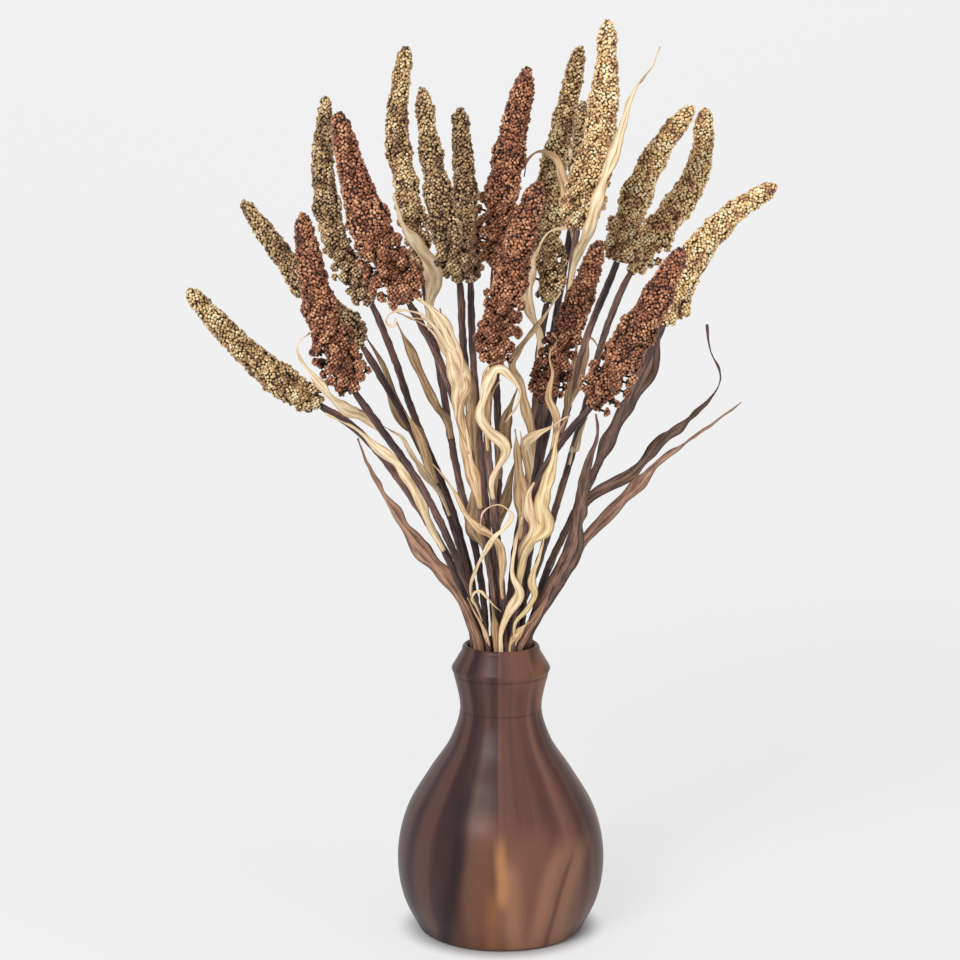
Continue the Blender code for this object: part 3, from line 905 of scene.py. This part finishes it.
def add_tuft_core(mesh, middle, size, root):
    """The ball and the short stalk under a loose tuft."""
    stalk = (root - middle).normalized()
    inner = size - 1 - CORE_SINK * 0.6
    ball = bmesh.ops.create_icosphere(mesh, subdivisions=1, radius=inner * MM)["verts"]
    bmesh.ops.translate(mesh, verts=ball, vec=middle * MM)
    tall = (root - middle).length
    cone = bmesh.ops.create_cone(
        mesh, segments=6, radius1=0.9 * MM, radius2=1.2 * MM, depth=tall * MM, cap_ends=True
    )["verts"]
    bmesh.ops.rotate(mesh, verts=cone, cent=(0, 0, 0), matrix=stalk.to_track_quat("Z", "Y").to_matrix())
    bmesh.ops.translate(mesh, verts=cone, vec=(middle + root) / 2 * MM)


def vertex_cloud(name, seats):
    """A mesh of bare points, each of which knows the way it faces."""
    data = bpy.data.meshes.new(name)
    data.from_pydata([place * MM for place, _ in seats], [], [])
    data.attributes.new("facing", "FLOAT_VECTOR", "POINT").data.foreach_set(
        "vector", [value for _, facing in seats for value in facing]
    )
    return link_object(name, data)


print("seats are laid", PACKING, "of a grain apart")

# %% [markdown]
# One grain is a ball of 15 triangles, open underneath where it meets the core. It is repeated thousands
# of times, so it has to be plain, and smooth shading rounds it. Its attribute cap is 0 underneath and 1
# on top, and lets the material darken each grain towards its foot: partly the husk that holds it, partly
# painted shade where the grains shade one another.

# %% One grain
ball = bmesh.new()
bmesh.ops.create_icosphere(ball, subdivisions=1, radius=1)
ball.verts.remove(min(ball.verts, key=lambda corner: corner.co.z))
one_grain = mesh_object("one_grain", ball)
cap = one_grain.data.attributes.new("cap", "FLOAT", "POINT")
for vertex, value in zip(one_grain.data.vertices, cap.data):
    value.value = (vertex.co.z + 1) / 2
print("one grain has", triangles(one_grain), "triangles")

# %% [markdown]
# Geometry Nodes put a copy of the grain on every seat, with its cap outwards, and turn and size each at
# random. They also give each a random number called tone, so that the material can make some grains paler
# or browner than their neighbours.

# %% The tree that seats the grains
def random_value(tree, low, high, seed):
    """A random number for each point, between low and high."""
    node = put(tree, "FunctionNodeRandomValue", data_type="FLOAT")
    for identifier, value in (("Min_001", low), ("Max_001", high)):
        next(s for s in node.inputs if s.identifier == identifier).default_value = value
    tree.links.new(seed, node.inputs["Seed"])
    return next(s for s in node.outputs if s.identifier == "Value_001")


cover_tree, given = new_tree(
    "grain cover", Seats="Object", Grain="Object", Size="Float", Seed="Int", Skin="Material",
    Kernel="Material",
)
core_skin = {"Geometry": given["Geometry"], "Material": given["Skin"]}
core_skin = put(cover_tree, "GeometryNodeSetMaterial", core_skin).outputs[0]
cloud = put(cover_tree, "GeometryNodeObjectInfo", {"Object": given["Seats"]}).outputs["Geometry"]
seed_shape = put(cover_tree, "GeometryNodeObjectInfo", {"Object": given["Grain"]}).outputs["Geometry"]
sizes = random_value(cover_tree, 0.78, 1.16, given["Seed"])
spins = random_value(cover_tree, 0, math.tau, maths(cover_tree, "ADD", given["Seed"], 50.0))
tones = random_value(cover_tree, 0, 1, maths(cover_tree, "ADD", given["Seed"], 100.0))
toned = kept(cover_tree, cloud, "tone", tones, "FLOAT")
facing = recalled(cover_tree, "facing", "FLOAT_VECTOR")
spin = put(cover_tree, "ShaderNodeCombineXYZ", {"Z": spins}).outputs[0]
upright = put(cover_tree, "FunctionNodeAlignRotationToVector", {"Vector": facing}, axis="Z").outputs[0]
turned = {"Rotation": upright, "Rotate By": spin}
turned = put(cover_tree, "FunctionNodeRotateRotation", turned, rotation_space="LOCAL").outputs[0]
scale = maths(cover_tree, "MULTIPLY", given["Size"], sizes)
seated = {"Points": toned, "Instance": seed_shape, "Rotation": turned, "Scale": scale}
grains = put(cover_tree, "GeometryNodeInstanceOnPoints", seated).outputs[0]
grains = put(cover_tree, "GeometryNodeRealizeInstances", {"Geometry": grains}).outputs[0]
grains = {"Geometry": grains, "Material": given["Kernel"]}
grains = put(cover_tree, "GeometryNodeSetMaterial", grains).outputs[0]
whole = put(cover_tree, "GeometryNodeJoinGeometry")
cover_tree.links.new(core_skin, whole.inputs[0])
cover_tree.links.new(grains, whole.inputs[0])
smooth = put(cover_tree, "GeometryNodeSetShadeSmooth", {"Geometry": whole.outputs[0]})
put(cover_tree, "NodeGroupOutput", {0: smooth.outputs[0]})
print("cover tree of", len(cover_tree.nodes), "nodes")

# %% Grain colours
KERNELS = {
    "russet": ((66, 39, 30), (92, 53, 38), (142, 85, 57), (178, 114, 78), (214, 160, 120)),
    "golden": ((136, 98, 66), (154, 112, 88), (218, 174, 120), (246, 214, 154), (255, 244, 204)),
    "tan": ((88, 64, 44), (128, 94, 68), (182, 144, 98), (218, 184, 130), (244, 224, 178)),
    "olive": ((70, 51, 37), (108, 80, 59), (157, 123, 87), (193, 158, 112), (227, 197, 150)),
}
TONE_STOPS = (0.12, 0.38, 0.62, 0.92)
# The core shows only in the gaps between grains, so its chaff is the husk colour made darker: painted shade
# in those gaps.
CORE_PAINTED_SHADE = 0.75


def kernel_material(name, husk, *tones):
    """Grain of mixed tones, darker towards each grain's foot: partly the husk that holds it, partly painted
    shade between the grains. Clumps of grain share a tone, and single grains stray.
    """
    material, tree, shader = new_material(f"{name} grain", 0.42)
    own = put(tree, "ShaderNodeAttribute", attribute_name="tone").outputs["Fac"]
    where = put(tree, "ShaderNodeTexCoord").outputs["Object"]
    clump = maths(tree, "SUBTRACT", mottled(tree, where, 75.0, 1.0), 0.5)
    clump = maths(tree, "MULTIPLY_ADD", clump, 1.5, 0.22)
    tone = maths(tree, "MULTIPLY_ADD", own, 0.62, clump)
    colour = ramp(tree, tone, [(place, tint(*c)) for place, c in zip(TONE_STOPS, tones)])
    height = put(tree, "ShaderNodeAttribute", attribute_name="cap").outputs["Fac"]
    # Husk and painted shade: each grain turns to the husk colour towards its foot, where the grains shade
    # one another.
    clear_of_husk_and_shade = eased(tree, height, 0.4, 0.84)
    paint(tree, shader, mixed(tree, clear_of_husk_and_shade, tint(*husk), colour))
    return material


kernel = {name: kernel_material(name, *colours) for name, colours in KERNELS.items()}
# Chaff of the core, darkened as painted shade between the grains.
shaded_chaff = {}
for name, (husk, *_) in KERNELS.items():
    shaded_chaff[name], _, shader = new_material(f"{name} chaff", 0.8)
    shader.inputs["Base Color"].default_value = tint(*(CORE_PAINTED_SHADE * value for value in husk))
print(len(kernel), "colours of grain")

# %% [markdown]
# Each head is loose at its foot up to some share of its length, which was judged on the photograph.

# %% Grow the heads
GRAIN_RADIUS = 1.55
GRAIN_PITCH = 2 * GRAIN_RADIUS * PACKING
LOOSE = {
    1: 0.14, 2: 0.12, 3: 0.44, 4: 0.36, 5: 0.4, 6: 0.34, 7: 0.24, 8: 0.3, 9: 0.34,
    10: 0.4, 11: 0.3, 12: 0.3, 13: 0.22, 14: 0.24, 15: 0.24, 16: 0.26, 17: 0.3, 18: 0.5,
}
total = 0
for number, (colour, _, _, plump, _, _) in enumerate(HEADS, 1):
    shape = Head(*routes[number], plump, LOOSE[number], number)
    seats = head_seats(shape, GRAIN_PITCH)
    mesh = core_mesh(shape)
    for middle, size, root in tuft_places(shape):
        add_tuft_core(mesh, middle, size, root)
        seats += tuft_seats(middle, size, root, GRAIN_PITCH, shape.draw)
    bmesh.ops.recalc_face_normals(mesh, faces=mesh.faces)
    cloud = vertex_cloud("seats", seats)
    head = grow(
        mesh_object(f"grain_head_{number:02d}", mesh), cover_tree, Seats=cloud, Grain=one_grain,
        Size=GRAIN_RADIUS * MM, Seed=number, Skin=shaded_chaff[colour], Kernel=kernel[colour],
    )
    bpy.data.objects.remove(cloud)
    dress(head, f"{colour}_grain", f"head_{number:02d}")
    total += triangles(head)
bpy.data.objects.remove(one_grain)
print("18 heads,", total, "triangles")

# %% [markdown]
# ## Husks and strap leaves
#
# Many stems carry dry husks, the papery sheaths that once wrapped them. Five brown strap leaves reach
# out, one to the left and four to the right. All are thin ribbons that leave a stem, or the neck, along a
# smooth line of their own. The table gives each one's colour, its root, its width, how many degrees it
# has turned at its tip, and the points it passes as (x, height, row). A root is (stem number, height on
# it, front -1 or back 1), or a place in the neck.

# %% The husks and leaves
BLADES = {
    "husk_01": ("cream", (3, 414, 1), 8, 60,
        ((-117, 449, -1.9), (-130, 454, -2.2), (-140, 461, -2.45), (-152, 474, -2.65),
         (-168, 496, -2.65), (-172, 509, -2.6), (-161, 520, -2.4))),
    "husk_02": ("cream", (1, 338, -1), 9.5, 50,
        ((-62, 358, -1.4), (-70, 380, -1.5), (-84, 404, -1.5), (-104, 420, -1.5),
         (-122, 437, -1.5), (-149, 451, -1.55))),
    "husk_03": ("cream", (6, 524, -1), 13, 40,
        ((-58, 572, -0.5), (-72, 594, -0.5), (-84, 614, -0.5), (-90, 636, -0.5))),
    "husk_04": ("cream", (5, 446, -1), 14, 30,
        ((-35, 480, -2.4), (-41, 500, -2.55), (-49, 522, -2.65), (-58, 538, -2.7), (-70, 549, -2.75))),
    "husk_05": ("khaki", (6, 430, -1), 10, 20,
        ((-55, 458, -0.45), (-65, 478, -0.5), (-74, 498, -0.5), (-88, 529, -0.5))),
    "husk_06": ("khaki", (4, 418, -1), 10, 25,
        ((-78, 440, 0.5), (-92, 464, 0.5), (-98, 488, 0.5), (-114, 517, 0.5))),
    "husk_07": ("straw", (2, 392, -1), 9, 15,
        ((-67, 424, -0.4), (-75, 442, -0.45), (-83, 455, -0.5))),
    "husk_08": ("straw", (7, 443, -1), 9, 60,
        ((-31, 481, -1.5), (-40, 503, -1.5), (-52, 540, -1.5))),
    "husk_09": ("cream", (11, 494, -1), 8, 80,
        ((22, 545, 0.5), (22, 568, 0.45), (31, 591, 0.4), (38, 603, 0.4), (60, 609, 0.4))),
    "husk_10": ("straw", (13, 580, 1), 8, 60,
        ((56, 622, 0.4), (50, 650, 0.45), (43, 666, 0.45), (32, 671, 0.45), (22, 664, 0.45),
         (19, 650, 0.45))),
    "husk_11": ("cream", (13, 556, -1), 9, 70,
        ((73, 606, -0.5), (84, 645, -0.5), (98, 686, -0.5), (110, 722, -0.5), (126, 744, -0.5),
         (130, 757, -0.5))),
    "husk_12": ("straw", (18, 404, -1), 7, 60,
        ((25, 436, -1.4), (19, 462, -1.5), (16, 478, -1.55), (8, 492, -1.55), (15, 507, -1.6),
         (30, 526, -1.6), (50, 554, -1.65))),
    "husk_13": ("cream", (10, 388, -1), 8, 45,
        ((3, 424, -2.35), (-10, 436, -2.4), (-18, 449, -2.45), (-15, 465, -2.5), (-10, 481, -2.55),
         (-2, 490, -2.6), (9, 482, -2.6), (16, 470, -2.6), (12, 456, -2.6), (3, 444, -2.55))),
    "husk_14": ("straw", (17, 408, 1), 5, 90,
        ((46, 450, -1.65), (40, 464, -1.65), (43, 484, -1.65), (41, 503, -1.65), (47, 514, -1.65),
         (43, 520, -1.65))),
    "husk_15": ("yellow", (17, 304, -1), 10, 60,
        ((24, 338, -2.35), (37, 354, -2.45), (34, 372, -2.5), (37, 388, -2.5), (44, 412, -2.5),
         (49, 436, -2.5), (58, 450, -2.5))),
    "husk_16": ("cream", (0, -25.5), 7, 50,
        ((0, 262, -2.42), (7, 280, -2.45), (15, 297, -2.5), (10, 309, -2.5), (11, 335, -2.5),
         (18, 362, -2.5))),
    "husk_17": ("cream", (3, 290, -1), 3.5, 60,
        ((-20, 320, -2.75), (-8, 342, -2.85), (8, 366, -2.9), (-3, 373, -2.9), (-14, 368, -2.9),
         (-18, 353, -2.9))),
    "husk_18": ("straw", (10, 298, -1), 6, 40,
        ((1, 325, -2.35), (-4, 342, -2.4), (-20, 353, -2.4), (-32, 367, -2.4), (-41, 386, -2.4),
         (-58, 408, -2.4))),
    "leaf_01": ("rosy", (-20.5, -5.3), 12, 50,
        ((-30, 282, -0.5), (-45, 308, -0.5), (-68, 333, -0.5), (-90, 365, -0.5), (-113, 407, -0.5),
         (-122, 430, -0.5))),
    "leaf_02": ("brown", (18.2, -11.2), 13, 35,
        ((26, 266, -1.3), (50, 311, -2.2), (62, 337, -2.5), (66, 366, -2.55), (74, 410, -2.6),
         (81, 430, -2.6), (80, 451, -2.6))),
    "leaf_03": ("brown", (16, 318, -1), 9, 100,
        ((72, 376, -0.5), (115, 404, -0.5), (135, 429, -0.5), (163, 451, -0.5), (185, 480, -0.5),
         (175, 508, -0.5), (173, 527, -0.5))),
    "leaf_04": ("rosy", (21.6, -5.2), 10, 80,
        ((27, 266, -0.6), (44, 296, -0.9), (67, 338, -1.2), (100, 374, -1.2), (136, 412, -1.2),
         (160, 429, -1.2), (203, 461, -1.2))),
    "leaf_05": ("brown", (16, 374, 1), 12, 60,
        ((100, 447, 0.5), (123, 488, 0.5), (134, 527, 0.5), (152, 547, 0.5), (174, 581, 0.5))),
}
print(len(BLADES), "husks and leaves")

# %% [markdown]
# A dry leaf isn't flat: it is cupped across, pleated lengthwise by its fibres, and its edges ripple where
# they shrank less than the middle. The mesh has nine points across and a station every few millimetres,
# and smooth noise moves them. Its UV map runs across and along the ribbon, so that the fibres in the
# material follow every bend.

# %% A ribbon that cups, pleats and ripples
BLADE_THICKNESS = 0.8
PAPER_THICKNESS = 0.35
ROOT_SHARE = 0.42
TIP_SHARE = 0.1
ROOT_RUN = 14
ROOT_CLEARANCE = 1.0
ACROSS = 9
STATION = 2.6
CUP = 0.26
PLEAT = 0.35
RIPPLE = 2.2
WANDER = math.radians(30)


def blade_route(root, points):
    """The middle line of a husk or leaf, from where it leaves its stem or the neck."""
    if len(root) == 2:
        start = [Vector((*root, NECK_STRAIGHT)), Vector((*root, NECK_TOP))]
    else:
        number, height, side = root
        host = routes[number][0]
        offset = Vector((0, side * (STEM_RADIUS + ROOT_CLEARANCE + BLADE_THICKNESS / 2), 0))
        low = host.height_mark(height)
        start = [host.at(low)[0] + offset, host.at(low + ROOT_RUN)[0] + offset]
    return Route(start + [placed(*p) for p in points])


def ribbon(name, route, width, twist, clasp, seed):
    """A cupped, pleated ribbon, which clasps a stem at its root from in front (1) or from behind (-1)."""
    mesh = bmesh.new()
    places = mesh.loops.layers.uv.new("UVMap")
    count = max(round(route.length / STATION), 8)
    rows = []
    for i in range(count + 1):
        share = i / count
        along = route.length * share
        middle, direction = route.at(along)
        sideways, back = across(direction)
        loose = blend(along / 30)
        turn = math.radians(twist) * blend((share - 0.15) / 0.85)
        turn += WANDER * loose * noise.noise(Vector((along / 26, seed * 1.3, 9)))
        flat = sideways * math.cos(turn) + back * math.sin(turn)
        face = back * math.cos(turn) - sideways * math.sin(turn)
        full = ROOT_SHARE + (1 - ROOT_SHARE) * blend(share / 0.4)
        full *= TIP_SHARE + (1 - TIP_SHARE) * blend((1 - share) / 0.45)
        full *= 1.15 + 0.8 * loose * noise.noise(Vector((along / 23, seed * 3.1, 0)))
        cup = CUP * width * full * (1 + 1.4 * noise.noise(Vector((along / 30, seed, 5))))
        row = []
        for k in range(ACROSS):
            t = 2 * k / (ACROSS - 1) - 1
            depth = cup * (abs(t) - 0.5)
            depth += clasp * (1 - loose) * 1.6 * t * t
            depth += PLEAT * loose * noise.noise(Vector((t * 4.5, along / 60, seed * 1.7)))
            depth += RIPPLE * loose * t * t * noise.noise(Vector((along / 11, t * 1.5, seed * 2.3)))
            row.append(mesh.verts.new((middle + flat * (t * width * full / 2) + face * depth) * MM))
        rows.append(row)
    for i, (low, high) in enumerate(zip(rows, rows[1:])):
        for k in range(ACROSS - 1):
            face = mesh.faces.new((low[k + 1], low[k], high[k], high[k + 1]))
            face.smooth = True
            for loop, (s, d) in zip(face.loops, ((k + 1, i), (k, i), (k, i + 1), (k + 1, i + 1))):
                loop[places].uv = (s / (ACROSS - 1), d * STATION / 100)
    piece = mesh_object(name, mesh)
    shell = piece.modifiers.new("thickness", "SOLIDIFY")
    shell.thickness = PAPER_THICKNESS * MM
    shell.offset = 0
    shell.material_offset = 1
    return piece


print("a ribbon has", ACROSS, "points across, every", STATION, "mm")

# %% Husk and leaf materials
def fibre_material(name, dark, middle, light):
    """Dry leaf: long fibres of several tones, over slower stains, with dark edges that are partly the leaf's
    own margin and partly painted shade.
    """
    material, tree, shader = new_material(name, 0.55)
    where = put(tree, "ShaderNodeTexCoord").outputs["UV"]
    fine = put(tree, "ShaderNodeMapping", {"Vector": where, "Scale": (24, 1.2, 1)}).outputs[0]
    fibres = mottled(tree, fine, 1.0, 4.0)
    stains = mottled(tree, where, 5.0, 2.0)
    tone = maths(tree, "MULTIPLY_ADD", stains, 0.55, maths(tree, "MULTIPLY", fibres, 0.47))
    colour = ramp(tree, tone, [(0.38, tint(*dark)), (0.5, tint(*middle)), (0.62, tint(*light))])
    across_leaf = put(tree, "ShaderNodeSeparateXYZ", {0: where}).outputs["X"]
    aside = maths(tree, "ABSOLUTE", maths(tree, "SUBTRACT", across_leaf, 0.5))
    # The darker edges are partly the leaf's own margin colour and partly painted shade along them.
    edge_tint_and_shade = maths(tree, "MULTIPLY", eased(tree, aside, 0.36, 0.5), 0.75)
    paint(tree, shader, mixed(tree, edge_tint_and_shade, colour, tint(*dark)), fibres, 0.4, 0.0005)
    return material


LEAF_TONES = {
    "cream": ((186, 142, 96), (232, 204, 162), (252, 238, 210)),
    "straw": ((150, 110, 76), (210, 172, 128), (240, 212, 172)),
    "yellow": ((170, 132, 86), (218, 190, 138), (242, 224, 182)),
    "khaki": ((108, 80, 56), (160, 126, 90), (202, 170, 128)),
    "brown": ((48, 33, 28), (94, 68, 56), (142, 107, 88)),
    "rosy": ((84, 58, 46), (144, 104, 82), (190, 148, 120)),
}
INSIDES = {
    "cream": "straw", "straw": "khaki", "yellow": "straw", "khaki": "brown", "brown": "brown",
    "rosy": "brown",
}
dry_leaf = {name: fibre_material(f"{name} leaf", *tones) for name, tones in LEAF_TONES.items()}
print(len(dry_leaf), "colours of leaf")

# %% [markdown]
# The finest strips have no piece of their own in the CAD model: frayed strands, the sheaths that still
# hug a stem, and the scraps at the mouth. They are laid the same way, from a second table.

# %% Finer strips
STRIPS = (
    ("cream", (2, 364, -1), 5, 30,
        ((-64, 398, -0.9), (-74, 413, -1.2), (-86, 432, -1.5), (-101, 441, -1.7))),
    ("cream", (5, 448, -1), 4, 120,
        ((-38, 492, -2.5), (-47, 510, -2.6), (-57, 525, -2.65), (-68, 535, -2.7), (-84, 538, -2.7),
         (-95, 534, -2.7), (-96, 527, -2.7), (-90, 526, -2.7), (-89, 532, -2.7))),
    ("straw", (5, 450, -1), 4, 50,
        ((-42, 498, -2.45), (-53, 518, -2.55), (-63, 530, -2.6), (-77, 533, -2.62), (-93, 541, -2.65),
         (-98, 550, -2.65))),
    ("cream", (5, 455, -1), 6, 30, ((-34, 490, -2.5), (-41, 515, -2.6), (-49, 532, -2.7), (-74, 550, -2.7))),
    ("cream", (5, 458, -1), 3, 60,
        ((-40, 488, -2.35), (-50, 506, -2.4), (-61, 524, -2.5), (-84, 535, -2.55))),
    ("straw", (5, 428, -1), 10, -50,
        ((-33, 462, -2.3), (-28, 473, -2.35), (-30, 483, -2.4), (-40, 492, -2.4))),
    ("straw", (5, 380, -1), 10, 10, ((-26, 404, -2.12), (-31, 420, -2.15), (-36, 438, -2.2))),
    ("cream", (5, 408, -1), 4, 30, ((-30, 436, -2.15), (-33, 458, -2.2))),
    ("khaki", (7, 372, -1), 8, 20,
        ((-24, 420, -1.2), (-25, 450, -1.2), (-24, 478, -1.2), (-33, 500, -1.25))),
    ("straw", (10, 430, -1), 6, 50, ((-13, 470, -2.35), (-15, 484, -2.4), (-9, 493, -2.5), (0, 496, -2.6))),
    ("straw", (10, 436, -1), 3, 20, ((-8, 468, -2.3), (-1, 480, -2.4))),
    ("khaki", (9, 396, -1), 10, 30, ((2, 428, -0.7), (4, 447, -0.8), (10, 463, -0.9), (14, 474, -1))),
    ("khaki", (9, 344, -1), 9, 20, ((4, 376, -0.7), (7, 392, -0.75), (12, 412, -0.8))),
    ("straw", (18, 348, -1), 11, 15,
        ((18, 376, -1.3), (15, 398, -1.35), (13, 426, -1.35), (12, 438, -1.35))),
    ("cream", (18, 396, -1), 6, 20, ((22, 427, -1.5), (31, 434, -1.7), (42, 440, -1.85), (56, 449, -2))),
    ("straw", (18, 386, -1), 5, 20, ((19, 420, -1.4), (16, 436, -1.45))),
    ("straw", (18, 402, -1), 4, 30, ((26, 438, -1.3), (22, 455, -1.35), (17, 473, -1.45))),
    ("cream", (17, 326, -1), 11, 15,
        ((29, 356, -2.3), (24, 370, -2.35), (24, 384, -2.35), (28, 392, -2.35))),
    ("yellow", (17, 262, -1), 4.5, 40,
        ((24, 284, -2.25), (29, 294, -2.3), (26, 305, -2.3), (32, 325, -2.4), (38, 351, -2.5))),
    ("cream", (15, 398, -1), 5, 20, ((63, 420, 1.6), (67, 435, 1.6), (73, 448, 1.6))),
    ("khaki", (14, 430, -1), 5, 10, ((57, 470, 0.6), (61, 495, 0.6), (66, 520, 0.65))),
    ("straw", (14, 440, -1), 6, 90, ((66, 478, 0.7), (71, 500, 0.7), (76, 516, 0.7), (81, 508, 0.7))),
    ("khaki", (7, 330, -1), 11, 10, ((-22, 352, -1.25), (-23, 375, -1.25), (-22, 398, -1.25))),
    ("straw", (9, 334, -1), 7, 20, ((-7, 362, -0.5), (-5, 385, -0.5), (-2, 405, -0.5))),
    ("cream", (3, 278, -1), 1.8, 0,
        ((-25, 292, -2.45), (-19, 298, -2.55), (-13, 293, -2.55), (-7, 286, -2.55), (0, 280, -2.5))),
    ("straw", (9, -21.5), 7, 20, ((12, 258, -2.2), (17, 264, -2.3), (24, 271, -2.35))),
    ("straw", (-9, -21), 3, 20, ((-14, 262, -2.3), (-22, 278, -2.4), (-29, 292, -2.45))),
    ("rosy", (-16.5, -17.5), 7, 20, ((-24, 268, -1.7), (-32, 287, -1.8), (-41, 308, -1.9))),
    ("khaki", (-4, -24.3), 5, 10, ((-5, 266, -2.3), (-8, 287, -2.4))),
    ("rosy", (14.5, -19), 7, 20, ((22, 262, -2), (33, 280, -2.1), (44, 302, -2.2))),
)
print(len(STRIPS), "finer strips")

# %% Lay the husks and leaves
def lay(name, number, kind, root, width, twist, points, *nodes):
    """Lays one ribbon along its line, with a duller inner side."""
    clasp = 0 if len(root) == 2 else -root[2]
    blade = ribbon(name, blade_route(root, points), width, twist, clasp, number)
    blade.data.materials.append(dry_leaf[kind])
    blade.data.materials.append(dry_leaf[INSIDES[kind]])
    dress(blade, "brown_leaf" if kind in ("brown", "rosy") else "husk", *nodes)
    return triangles(blade)


faces = 0
for number, (name, ribbon_values) in enumerate(BLADES.items()):
    faces += lay(f"dry_{name}", number, *ribbon_values, name)
for number, ribbon_values in enumerate(STRIPS, 1):
    faces += lay(f"dry_strip_{number:02d}", 30 + number, *ribbon_values)
print(len(BLADES) + len(STRIPS), "ribbons,", faces, "triangles before their thickness")
